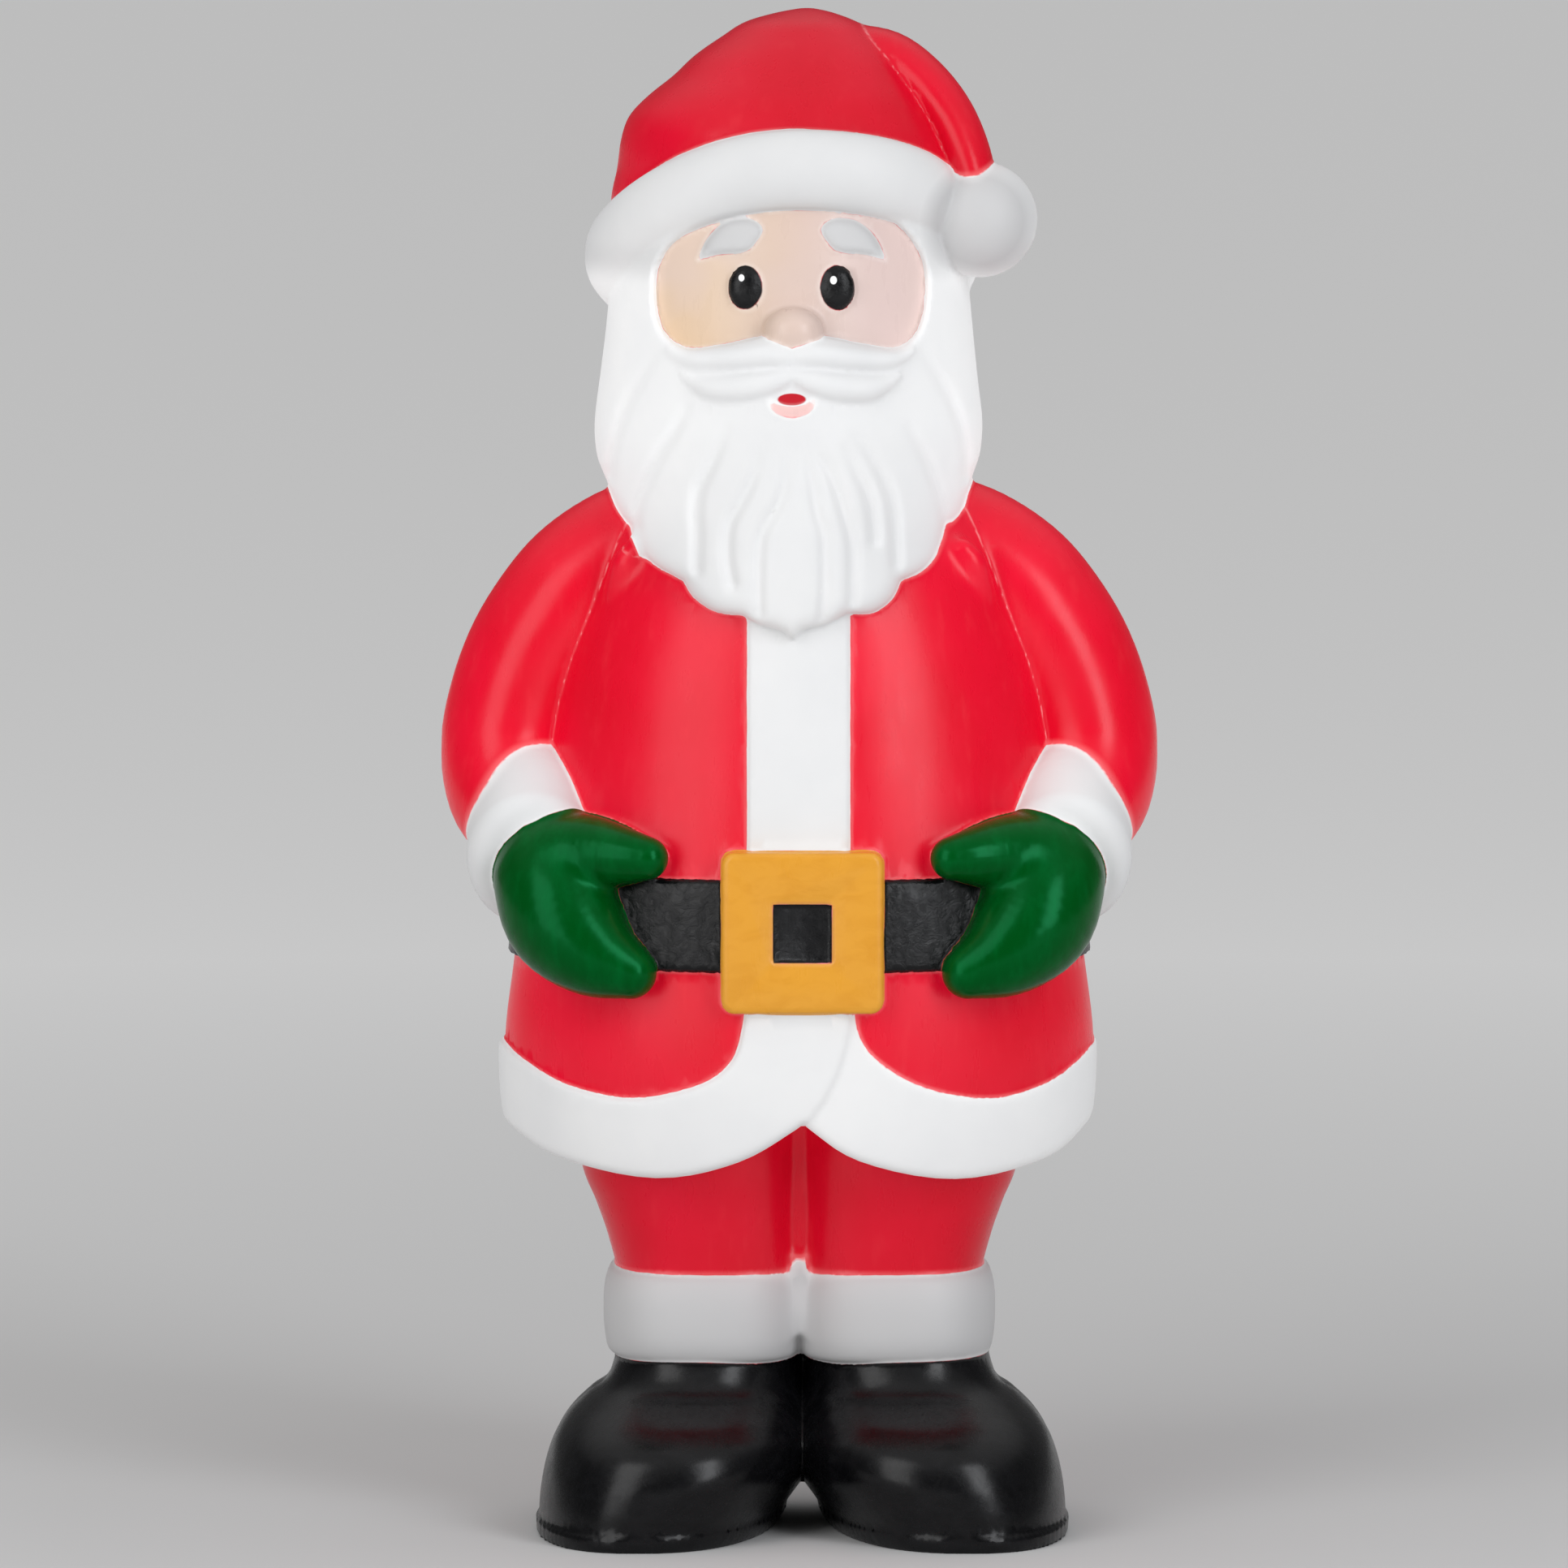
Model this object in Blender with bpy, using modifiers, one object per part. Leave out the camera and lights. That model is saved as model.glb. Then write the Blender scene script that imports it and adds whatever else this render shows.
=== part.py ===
"""Lighted Santa figure: one blow-moulded plastic shell on its two boots, and the lamp cap in its back.

Metres, +Z up. The figure faces -Y, and its own right hand is at -X.
"""

import math

import bmesh
import bpy
import numpy as np
from mathutils import Matrix, Vector

# Driving sizes
FIGURE_HEIGHT = 0.610
LAMP_CAP_HEIGHT = 0.5 * FIGURE_HEIGHT
LAMP_HOLE_RADIUS = 0.019
LAMP_HOLE_DEPTH = 0.016
LAMP_FLANGE_WIDTH = 0.006
LAMP_FLANGE_THICKNESS = 0.0025
LAMP_LAND_MARGIN = 0.004
LAMP_LAND_RISE = 0.002
LAMP_LAND_ROOT = 0.05
LAMP_NECK_LENGTH = 0.012
CAP_EDGE = 0.0008
GLAND_RADIUS = 0.007
GLAND_LENGTH = 0.007
CORD_HOLE_RADIUS = 0.0018
CLEARANCE = 0.0003
# Share of the joined shell's triangles that stay once the slivers along its seams are cleared
KEPT_SHARE = 0.69
SLIVER_WIDTH = 0.00003

# The free form's proportions are 610ths of the figure's height, so at full size one unit is a millimetre.
UNIT = FIGURE_HEIGHT / 610
FACE_AXIS = -3
COAT_SIDES = 48
LIMB_SIDES = 16

# Rows of the stacked forms: height, left and right reach, front and back reach
COAT = (
    (128, -106, 106, 76, 62),
    (163, -116.5, 116.5, 83, 68),
    (196, -118.5, 118.5, 86, 71),
    (231, -114.5, 114.5, 85.5, 72),
    (260, -112, 112, 84.5, 72),
    (290, -109, 109, 83, 71),
    (320, -105, 105, 80.5, 68),
    (350, -99, 99, 77, 63),
    (380, -88, 88, 71, 56),
    (400, -79, 79, 63, 50),
    (418, -66, 66, 50, 43),
    (432, -50, 50, 38, 34),
)
HEAD = (
    (402, -50, 42, 34, 42),
    (414, -66, 58, 48, 53),
    (440, -74, 66, 60, 60),
    (460, -75.5, 67.5, 66, 63),
    (480, -74, 66, 69, 65),
    (500, -72, 64, 69, 65),
    (520, -70, 62, 67, 64),
    (545, -60, 54, 58, 58),
    (565, -42, 36, 40, 42),
)
BEARD = (
    (340, -72, 64, 82, 14),
    (375, -80, 72, 85.5, 20),
    (400, -76, 68, 86, 24),
    (420, -78.5, 70.5, 85, 26),
    (432, -81, 72.2, 84, 27),
    (445, -81.7, 73, 83, 28),
    (463, -79.5, 71, 80, 30),
    (483, -77, 69, 77, 30),
    (505, -75, 67, 73, 30),
    (525, -73, 65, 69, 28),
    (545, -64, 57, 60, 24),
)
HAT = (
    (478, -66, 58, 30, 71),
    (505, -73, 66, 40, 76),
    (531, -75.5, 68, 56, 78),
    (546, -73, 67, 64, 77),
    (558, -71.3, 61, 63, 73),
    (567, -68, 56, 59, 69),
    (575, -60.5, 51, 54, 64),
    (583, -50.5, 45, 47, 57),
    (591, -42, 39, 39, 47),
    (598.5, -31.3, 31, 30, 36),
    (605, -20.5, 22, 20, 23),
    (610, -2, 8, 4, 5),
)
# Rows of one leg, its fur cuff and its boot: the same, on the +X side
LEG = (
    (196, 0, 92, 57, 55),
    (150, -1.5, 88.5, 54, 52),
    (131, -1.5, 82, 51, 50),
    (118, -2, 77.5, 49, 48),
    (100, -2, 73, 47, 46),
    (84, -2, 72, 46, 45),
)
BOOT_CUFF = (
    (107, -1, 73, 46, 45),
    (103, -2, 76.5, 49.5, 48),
    (96, -2.5, 78.6, 51.5, 50),
    (86, -2.5, 79, 52, 50.5),
    (77, -2, 78.4, 51.2, 49.8),
    (71, -1, 77, 48.8, 48),
    (68.5, 0, 73.5, 46, 45),
)
BOOT = (
    (80, 0, 72, 44, 45),
    (60, -1, 77.7, 53, 50.5),
    (53, -3, 85.8, 63, 54),
    (46, -6, 93.1, 77, 57),
    (38, -8.5, 98.4, 87, 59.5),
    (28, -8, 101.9, 93, 61.5),
    (17, -0.5, 103.9, 95, 62.5),
    (6.6, 6.8, 104.3, 94.2, 62.4),
    (6.2, 5.6, 105.5, 95.4, 63.6),
    (0, 10.5, 105.5, 95.4, 63.6),
)
BOOT_AXIS = 1.2
BOOT_SQUARENESS = 2.35

# Paths of the round forms: x, y, z and radius, on the -X side where there are two
SLEEVE = (
    (-56, 0, 401.6, 23.6),
    (-71, 0, 393.5, 26.2),
    (-84.6, 0, 381.6, 27.8),
    (-94.8, -1, 369, 27.9),
    (-105.7, -2, 352.2, 27.7),
    (-113.2, -3, 334, 27.2),
    (-117, -5, 315, 27),
    (-115.5, -13, 298, 26),
    (-110, -25, 287.5, 23.5),
)
SLEEVE_DEPTH = 1.18
CUFF = ((-112, -18, 294, 22), (-107.8, -32, 284.5, 25), (-105, -46, 276, 25.5))
CUFF_TALLNESS = 1.25
CUFF_BULGE = 0.3
MITTEN_HAND = (
    (-99, -48, 270, 22.5),
    (-97.5, -57, 263, 24),
    (-93, -65, 250, 23.5),
    (-82, -74, 238, 17.6),
    (-67, -80, 230.5, 10.5),
)
MITTEN_THUMB = ((-97, -54, 273, 20), (-83, -66, 276.5, 15), (-70, -76, 276.5, 11.3), (-60.5, -81, 276, 8.6))
HAT_TAIL = (
    (20, -3, 596, 8),
    (36, -6, 591, 10),
    (49, -9, 581, 10.5),
    (59.5, -12, 567.5, 10.5),
    (66.5, -16, 552, 10),
    (70.5, -20, 538, 8.5),
)
HAT_TAIL_DEPTH = 1.5
POMPOM = (71.8, -21, 526.5, 23.2)
MOUSTACHE_WING = (
    (-3.4, -77.2, 474.6, 5),
    (-9.4, -76.8, 475.4, 5.2),
    (-22.5, -74.4, 473.8, 4.6),
    (-35.6, -68.9, 472.7, 3.6),
    (-42.8, -64.5, 473.5, 2.2),
    (-48.6, -59.5, 476.4, 0.9),
)
MOUSTACHE_UNDERWING = (
    (-1.6, -79.1, 466.9, 3.3),
    (-8.3, -78.6, 464.6, 5),
    (-18.1, -76.5, 462.4, 6),
    (-29, -73, 461.7, 5.4),
    (-36.7, -69.9, 463.3, 3),
    (-43.1, -65.6, 466.9, 1),
)
EYEBROW_EDGE = (
    (
        (-37.4, 511.8), (-34.5, 519), (-30.2, 524.5), (-24.6, 528), (-17.8, 528.8), (-13.2, 527),
        (-11.5, 524), (-14, 519.5), (-17, 516.3), (-21.5, 514.9), (-28.3, 514.4), (-37.4, 511.8),
    ),
)
LIP = (
    (-8.6, -79.5, 457, 1.2),
    (-5.6, -80.5, 454, 2),
    (0, -81, 452.7, 2.3),
    (5.6, -80.5, 454, 2),
    (8.6, -79.5, 457, 1.2),
)
NOSE = (0.6, -72, 484.5)
NOSE_RADII = (11.7, 10, 9.3)
EYE = (17.4, -65.8, 501.2)
EYE_RADII = (7.4, 3.6, 8.9)

# The hat's fur brim: a ring about the head that dips from the brow to the nape
BRIM_CENTRE = (1, 0, 511)
BRIM_REACH = (77, 61, 63, 68)
BRIM_DIP = 37
BRIM_BEND = (1.5, 0.65)
BRIM_THICKNESS = 10
BRIM_TALLNESS = 17
BRIM_FRONT_TALLNESS = 15.8

# Outlines seen from the front: smooth arcs that meet at corners, as x and z
BEARD_EDGE = (
    ((-95, 436), (-84, 426), (-77.5, 418.5), (-73.6, 410.7), (-67.7, 404.8)),
    ((-67.7, 404.8), (-65.5, 398.5), (-57.9, 391), (-45.6, 385)),
    ((-45.6, 385), (-42, 379), (-33.5, 373.5), (-22.4, 372.2)),
    ((-22.4, 372.2), (-16, 368.6), (-7.4, 366.3), (-2.9, 362.4)),
    ((-2.9, 362.4), (1.6, 366.4), (11, 368.8), (19.2, 373.1)),
    ((19.2, 373.1), (29, 373), (36.5, 378), (40.2, 385.2)),
    ((40.2, 385.2), (49.9, 388.5), (56, 394), (59, 402.3)),
    ((59, 402.3), (66.2, 409), (69, 418), (76, 428), (95, 436)),
)
FACE_EDGE = (
    (
        (-3, 536), (24, 534), (40, 525), (48.5, 513), (50.5, 499), (47.5, 484), (39, 477),
        (26, 478.6), (9, 482), (-14, 482), (-30, 478.6), (-45, 477), (-54.5, 484), (-57.5, 499),
        (-54.5, 513), (-43, 525), (-27, 534), (-3, 536),
    ),
)
RIGHT_SKIRT_PANEL = (
    (-21, 226), (-22.3, 209), (-27, 195), (-40, 185.3), (-66, 179), (-92, 182.3), (-110, 190), (-120, 196),
)
LEFT_SKIRT_PANEL = ((20.6, 226), (24, 204.5), (35.4, 192), (54, 182.6), (79, 178.6), (102, 184), (120, 196))
FLAP_EDGE = ((1.6, 168), (11.3, 182), (18.8, 201), (20.6, 226))
RIGHT_HEM_EDGE = ((-135, 165), (-118, 161.8), (-96, 152.3), (-57, 147), (-24, 154.7), (1.6, 170))
LEFT_HEM_EDGE = ((1.6, 170), (24, 155), (62, 146.3), (99, 151.6), (118, 163), (135, 166))
BACK_HEM = (163, 196)
# The under flap's edge that the top flap hides
UNDER_FLAP_EDGE = ((8, 226), (1, 172))
PLACKET = (-20.4, 21, 205, 400)
BELT = (231, 267)
BUCKLE_CENTRE = (1.2, 247)
BUCKLE_SIDE = 64
BUCKLE_CORNER = 5
BUCKLE_FRONT = 92
BUCKLE_BACK = 60
BUCKLE_HOLE_SIDE = 23.5
BUCKLE_HOLE_DEPTH = 2.6

# How far each trim stands out from the coat, and the hair from the head
FUR_PROUD = 1.2
BACK_FUR_PROUD = 1.3
TOP_FLAP_PROUD = 2.6
PLACKET_PROUD = 1.8
BELT_PROUD = 2.8
HAIR_PROUD = 1.5
EYEBROW_PROUD = 2.2

# Grooves between the beard's locks, as x and z from root to tip
BEARD_GROOVES = (
    ((-44.7, 454), (-49.1, 445), (-54, 437.4), (-58.5, 429), (-62.4, 420), (-64.6, 413), (-65.2, 405.5)),
    ((-28.8, 446), (-32.1, 438), (-35.9, 429.5), (-39.7, 421.7), (-40.8, 413), (-40.3, 404), (-40.5, 390)),
    ((-13.5, 441), (-17.9, 428), (-22.2, 419), (-26.6, 411), (-28.2, 404.6), (-28.3, 396), (-26.6, 385)),
    ((-3.5, 440), (-5.3, 427), (-8.1, 417), (-13.5, 408), (-15.7, 400.5), (-16.2, 389.6), (-16, 374)),
    ((1.2, 440), (5, 427), (6.9, 413.6), (9.6, 405), (10.1, 395), (10.1, 384), (9, 372)),
    ((6.1, 444), (7.7, 436), (12.1, 429), (15.6, 420), (17.8, 412), (20.1, 404.6), (21.1, 395), (21, 378)),
    ((18.6, 439.5), (22.5, 429.6), (26.8, 421), (29.2, 411), (29.9, 402)),
    ((23, 443), (29, 434), (33.4, 426), (36.7, 417), (37.8, 408), (38.5, 392)),
    ((43.3, 446), (47.1, 439.5), (51, 431.6), (54.4, 422.5), (57.2, 413), (58.6, 405)),
    ((48.8, 475), (53.2, 468), (58.8, 459), (62.7, 450), (65.5, 441), (66.7, 433), (66.5, 424)),
    ((-57.9, 473), (-62.9, 465), (-67.4, 457), (-70.7, 449), (-73, 441), (-74.7, 433), (-75.4, 424)),
)
GROOVE_RADII = (1.4, 3.2)

# Room for the outlines that trim the forms: how far they reach past them, and how far down they go
REACH = 140
SKIRT_FLOOR = 120
HEM_FLOOR = 100
BEARD_ROOT = 60
FACE_ROOT = 20
HEAD_TOP = 560
# A small step between two outlines that would otherwise share a face
SEAM_STEP = 0.25

PAINTS = {
    "red": ((0.80, 0.012, 0.02), 0.32),
    "white": ((0.88, 0.88, 0.87), 0.45),
    "skin": ((0.90, 0.72, 0.62), 0.45),
    "green": ((0.0, 0.16, 0.05), 0.28),
    "black": ((0.008, 0.008, 0.009), 0.28),
    "gold": ((0.72, 0.36, 0.035), 0.4),
    "lip": ((0.85, 0.55, 0.52), 0.45),
}
CAP_COLOUR = ((0.82, 0.82, 0.80), 0.5)


def material(name, colour, roughness):
    """A plain plastic or paint."""
    made = bpy.data.materials.new(name)
    made.use_nodes = True
    shader = made.node_tree.nodes["Principled BSDF"]
    shader.inputs["Base Color"].default_value = (*colour, 1)
    shader.inputs["Roughness"].default_value = roughness
    shader.inputs["Metallic"].default_value = 0
    return made


def smooth_line(points, per_span):
    """Points along the Catmull-Rom curve through the given ones, in any number of dimensions."""
    p = np.array(points, float)
    before, after = 2 * p[0] - p[1], 2 * p[-1] - p[-2]
    p = np.vstack([before, p, after])
    found = []
    for a, b, c, d in zip(p[:-3], p[1:-2], p[2:-1], p[3:]):
        for t in np.arange(per_span) / per_span:
            found.append(b + 0.5 * t * (c - a + t * (2 * a - 5 * b + 4 * c - d + t * (3 * (b - c) + d - a))))
    return np.array([*found, p[-2]])


def new_object(name, bm, paint):
    """The finished bmesh as an object in the helpers' collection, its normals outward."""
    bmesh.ops.recalc_face_normals(bm, faces=bm.faces[:])
    mesh = bpy.data.meshes.new(name)
    bm.to_mesh(mesh)
    bm.free()
    made = bpy.data.objects.new(name, mesh)
    if paint:
        mesh.materials.append(bpy.data.materials[paint])
    HELPERS.objects.link(made)
    return made


def skin(name, rings, paint, closed=False):
    """Joins rings of equal counts by quads, with a flat face on each end unless they close on themselves."""
    bm = bmesh.new()
    loops = [[bm.verts.new(Vector(p) * UNIT) for p in ring] for ring in rings]
    pairs = list(zip(loops[:-1], loops[1:]))
    if closed:
        pairs.append((loops[-1], loops[0]))
    else:
        bm.faces.new(loops[0])
        bm.faces.new(loops[-1])
    for low, high in pairs:
        for i in range(len(low)):
            j = (i + 1) % len(low)
            bm.faces.new((low[i], low[j], high[j], high[i]))
    return new_object(name, bm, paint)


def oval(height, left, right, front, back, sides, squareness=2.0):
    """One level ring: an oval whose front and back may differ in depth."""
    angle = 2 * math.pi * (np.arange(sides) + 0.5) / sides
    c, s = np.cos(angle), np.sin(angle)
    power = 2 / squareness
    x = (left + right) / 2 + (right - left) / 2 * np.sign(c) * np.abs(c) ** power
    depth = np.where(s < 0, front, back)
    y = depth * np.sign(s) * np.abs(s) ** power
    return np.column_stack([x, y, np.full(sides, float(height))])


def stack(name, rows, paint, sides, per_span=1, proud=0.0, squareness=2.0, side=1, axis=0.0):
    """A form of level ovals, one above the other."""
    rings = []
    for height, left, right, front, back in smooth_line(rows, per_span):
        ring = oval(height, left - proud, right + proud, front + proud, back + proud, sides, squareness)
        ring[:, 0] = ring[:, 0] * side + axis
        rings.append(ring)
    return skin(name, rings, paint)


def limb(name, path, paint, sides=LIMB_SIDES, per_span=2, scale=(1, 1, 1), side=1, bulge=1.0):
    """A round form along a path of x, y, z and radius, stretched by scale about its own middle.

    Its ends are domes, and bulge is how far they stand out as a share of their radius.
    """
    line = smooth_line(path, per_span)
    centres, radii = line[:, :3], np.abs(line[:, 3])
    ahead = np.gradient(centres, axis=0)
    ahead /= np.linalg.norm(ahead, axis=1)[:, None]
    start, end = [], []
    for a in np.radians((70, 36)):
        rise, shrink = bulge * math.sin(a), math.cos(a)
        start.append((centres[0] - ahead[0] * radii[0] * rise, ahead[0], radii[0] * shrink))
        end.insert(0, (centres[-1] + ahead[-1] * radii[-1] * rise, ahead[-1], radii[-1] * shrink))
    across = np.cross(ahead[0], (0.3, 1.0, 0.2))
    rings = []
    for centre, direction, radius in [*start, *zip(centres, ahead, radii), *end]:
        across = across - direction * (across @ direction)
        across /= np.linalg.norm(across)
        up = np.cross(direction, across)
        angle = 2 * math.pi * np.arange(sides) / sides
        rings.append(centre + radius * (np.outer(np.cos(angle), across) + np.outer(np.sin(angle), up)))
    middle = centres.mean(axis=0)
    rings = [((ring - middle) * scale + middle) * (side, 1, 1) for ring in rings]
    return skin(name, rings, paint)


def ball(name, centre, radii, paint, segments=16, rings=10):
    bm = bmesh.new()
    bmesh.ops.create_uvsphere(bm, u_segments=segments, v_segments=rings, radius=1)
    place = Matrix.Translation(Vector(centre) * UNIT) @ Matrix.Diagonal((*[r * UNIT for r in radii], 1))
    bmesh.ops.transform(bm, matrix=place, verts=bm.verts)
    return new_object(name, bm, paint)


def slab(name, outline, near, far):
    """A flat outline in x and z, drawn as a filled curve and given its depth from near to far along Y."""
    curve = bpy.data.curves.new(name, "CURVE")
    curve.dimensions = "2D"
    curve.fill_mode = "BOTH"
    curve.extrude = (far - near) / 2 * UNIT
    line = curve.splines.new("POLY")
    line.points.add(len(outline) - 1)
    for point, (x, z) in zip(line.points, outline):
        point.co = (x * UNIT, z * UNIT, 0, 1)
    line.use_cyclic_u = True
    drawn = bpy.data.objects.new(name, curve)
    HELPERS.objects.link(drawn)
    drawn.rotation_euler = (math.pi / 2, 0, 0)
    drawn.location = (0, (near + far) / 2 * UNIT, 0)
    bpy.context.view_layer.update()
    made = as_mesh(drawn, name + "_slab")
    bm = bmesh.new()
    bm.from_mesh(made.data)
    bmesh.ops.remove_doubles(bm, verts=bm.verts, dist=1e-5)
    bmesh.ops.recalc_face_normals(bm, faces=bm.faces[:])
    bm.to_mesh(made.data)
    bm.free()
    return made


def box(name, low, high, bevel=0.0, paint=None):
    bm = bmesh.new()
    bmesh.ops.create_cube(bm, size=1)
    low, high = Vector(low) * UNIT, Vector(high) * UNIT
    place = Matrix.Translation((low + high) / 2) @ Matrix.Diagonal((*(high - low), 1))
    bmesh.ops.transform(bm, matrix=place, verts=bm.verts)
    if bevel:
        upright = [e for e in bm.edges if abs((e.verts[0].co - e.verts[1].co).normalized().y) > 0.9]
        bmesh.ops.bevel(bm, geom=upright, offset=bevel * UNIT, segments=4, profile=0.5, affect="EDGES")
    return new_object(name, bm, paint)


def as_mesh(source, name):
    """The evaluated form of an object as a new mesh object that takes its place."""
    bpy.context.view_layer.update()
    graph = bpy.context.evaluated_depsgraph_get()
    mesh = bpy.data.meshes.new_from_object(source.evaluated_get(graph))
    made = bpy.data.objects.new(name, mesh)
    made.matrix_world = source.matrix_world
    HELPERS.objects.link(made)
    bpy.data.objects.remove(source)
    return made


def combine(operation, first, *others):
    """Cuts, keeps or joins the others with the first, and returns the result under the first one's name.

    The manifold solver does it, because the exact one leaves the hem open and loses the brim and the pompom.
    """
    for other in others:
        modifier = first.modifiers.new(operation.lower(), "BOOLEAN")
        modifier.operation = operation
        modifier.solver = "MANIFOLD"
        modifier.material_mode = "TRANSFER"
        modifier.object = other
    name = first.name
    made = as_mesh(first, name)
    made.name = name
    for other in others:
        bpy.data.objects.remove(other)
    return made


def outline(*arcs, per_span=3):
    """One closed outline from arcs that meet at corners."""
    points = []
    for arc in arcs:
        line = smooth_line(arc, per_span) if len(arc) > 2 else np.array(arc, float)
        if points and np.linalg.norm(points[-1] - line[0]) < 1e-6:
            line = line[1:]
        points.extend(line)
    if np.linalg.norm(points[-1] - points[0]) < 1e-6:
        points.pop()
    return points


def on_front(rows, x, z):
    """Y of the front of a stack of ovals at x and height z."""
    table = np.array(rows)[np.argsort([row[0] for row in rows])]
    left, right, front = [np.interp(z, table[:, 0], table[:, i]) for i in (1, 2, 3)]
    across = (2 * x - left - right) / (right - left)
    return -front * math.sqrt(max(0, 1 - across * across))


def beard_grooves():
    """The cutters that part the beard's locks: each starts fine at its root and deepens to its tip."""
    cutters = []
    for number, groove in enumerate(BEARD_GROOVES):
        line = smooth_line(groove, 2)
        radii = np.interp(np.arange(len(line)), (0, len(line) - 1), GROOVE_RADII)
        path = [(x, on_front(BEARD, x, z), z, r) for (x, z), r in zip(line, radii)]
        cutters.append(limb(f"groove{number}", path, "white", sides=8, per_span=1))
    return cutters


def coat():
    """The coat with its fur trims and belt, cut off below along the hem."""
    body = stack("coat", COAT, "red", COAT_SIDES)
    top = BACK_HEM[1]
    edge = FLAP_EDGE[0][0]
    flap = outline(
        FLAP_EDGE[::-1],
        ((edge, SKIRT_FLOOR), (-REACH, SKIRT_FLOOR)),
        ((-REACH, SKIRT_FLOOR), (-REACH, top)),
        RIGHT_SKIRT_PANEL[::-1],
    )
    under = outline(
        UNDER_FLAP_EDGE,
        ((edge, SKIRT_FLOOR), (REACH, SKIRT_FLOOR)),
        ((REACH, SKIRT_FLOOR), (REACH, top)),
        LEFT_SKIRT_PANEL[::-1],
    )
    top_flap = stack("top_flap", COAT, "white", COAT_SIDES, proud=TOP_FLAP_PROUD)
    under_flap = stack("under_flap", COAT, "white", COAT_SIDES, proud=FUR_PROUD)
    back_fur = stack("back_fur", COAT, "white", COAT_SIDES, proud=BACK_FUR_PROUD)
    placket = stack("placket", COAT, "white", COAT_SIDES, proud=PLACKET_PROUD)
    belt = stack("belt", COAT, "black", COAT_SIDES, proud=BELT_PROUD)
    left, right, low, high = PLACKET
    trims = [
        combine("INTERSECT", top_flap, slab("flap_outline", flap, -REACH, -SEAM_STEP)),
        combine("INTERSECT", under_flap, slab("under_outline", under, -REACH, -2 * SEAM_STEP)),
        combine("INTERSECT", back_fur, box("back_band", (-REACH, -1, SKIRT_FLOOR), (REACH, REACH, top))),
        combine("INTERSECT", placket, box("placket_band", (left, -REACH, low), (right, 0, high))),
        combine("INTERSECT", belt, box("belt_band", (-REACH, -REACH, BELT[0]), (REACH, REACH, BELT[1]))),
    ]
    x, z = BUCKLE_CENTRE
    half, hole = BUCKLE_SIDE / 2, BUCKLE_HOLE_SIDE / 2
    plate = box(
        "buckle",
        (x - half, -BUCKLE_FRONT, z - half),
        (x + half, -BUCKLE_BACK, z + half),
        BUCKLE_CORNER,
        "gold",
    )
    window = box(
        "window",
        (x - hole, -REACH, z - hole),
        (x + hole, -BUCKLE_FRONT + BUCKLE_HOLE_DEPTH, z + hole),
        paint="black",
    )
    body = combine("UNION", body, *trims, combine("DIFFERENCE", plate, window))
    front_edge = outline(RIGHT_HEM_EDGE, LEFT_HEM_EDGE, ((REACH, HEM_FLOOR), (-REACH, HEM_FLOOR)))
    hollow_front = slab("hem_front", front_edge, -REACH, SEAM_STEP)
    hollow_back = box("hem_back", (-REACH, 0, HEM_FLOOR), (REACH, REACH, BACK_HEM[0]))
    return combine("DIFFERENCE", body, hollow_front, hollow_back)


def head():
    """The head with its beard, moustache, nose, eyes and brows."""
    skull = stack("skull", HEAD, "skin", 40)
    hair_rows = [(z, left, right, 8, back) for z, left, right, front, back in HEAD]
    hair = stack("hair", hair_rows, "white", 40, proud=HAIR_PROUD)
    beard = stack("beard", BEARD, "white", 44)
    edge = outline(*BEARD_EDGE, ((BEARD_EDGE[-1][-1][0], HEAD_TOP), (BEARD_EDGE[0][0][0], HEAD_TOP)))
    beard = combine("INTERSECT", beard, slab("beard_outline", edge, -REACH, BEARD_ROOT))
    face = slab("face_outline", outline(*FACE_EDGE, per_span=2), -REACH, -FACE_ROOT)
    beard = combine("DIFFERENCE", beard, face, *beard_grooves())
    features = [hair, beard]
    axis = Vector((FACE_AXIS, 0, 0))
    for side in (-1, 1):
        for name, path in (("wing", MOUSTACHE_WING), ("underwing", MOUSTACHE_UNDERWING)):
            line = [(FACE_AXIS - x * side, y, z, r) for x, y, z, r in path]
            features.append(limb(f"{name}{side}", line, "white", sides=10, per_span=1))
        brow = [(FACE_AXIS - x * side, z) for x, z in outline(*EYEBROW_EDGE, per_span=2)]
        raised = stack(f"brow{side}", HEAD, "white", 40, proud=EYEBROW_PROUD)
        features.append(combine("INTERSECT", raised, slab(f"brow_outline{side}", brow, -REACH, -FACE_ROOT)))
        x, y, z = EYE
        features.append(ball(f"eye{side}", axis + Vector((x * side, y, z)), EYE_RADII, "black", 12, 8))
    lip = [(FACE_AXIS + x, y, z, r) for x, y, z, r in LIP]
    features.append(limb("lip", lip, "lip", sides=8))
    x, y, z = NOSE
    features.append(ball("nose", axis + Vector((x, y, z)), NOSE_RADII, "skin", 16, 8))
    return combine("UNION", skull, *features)


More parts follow.
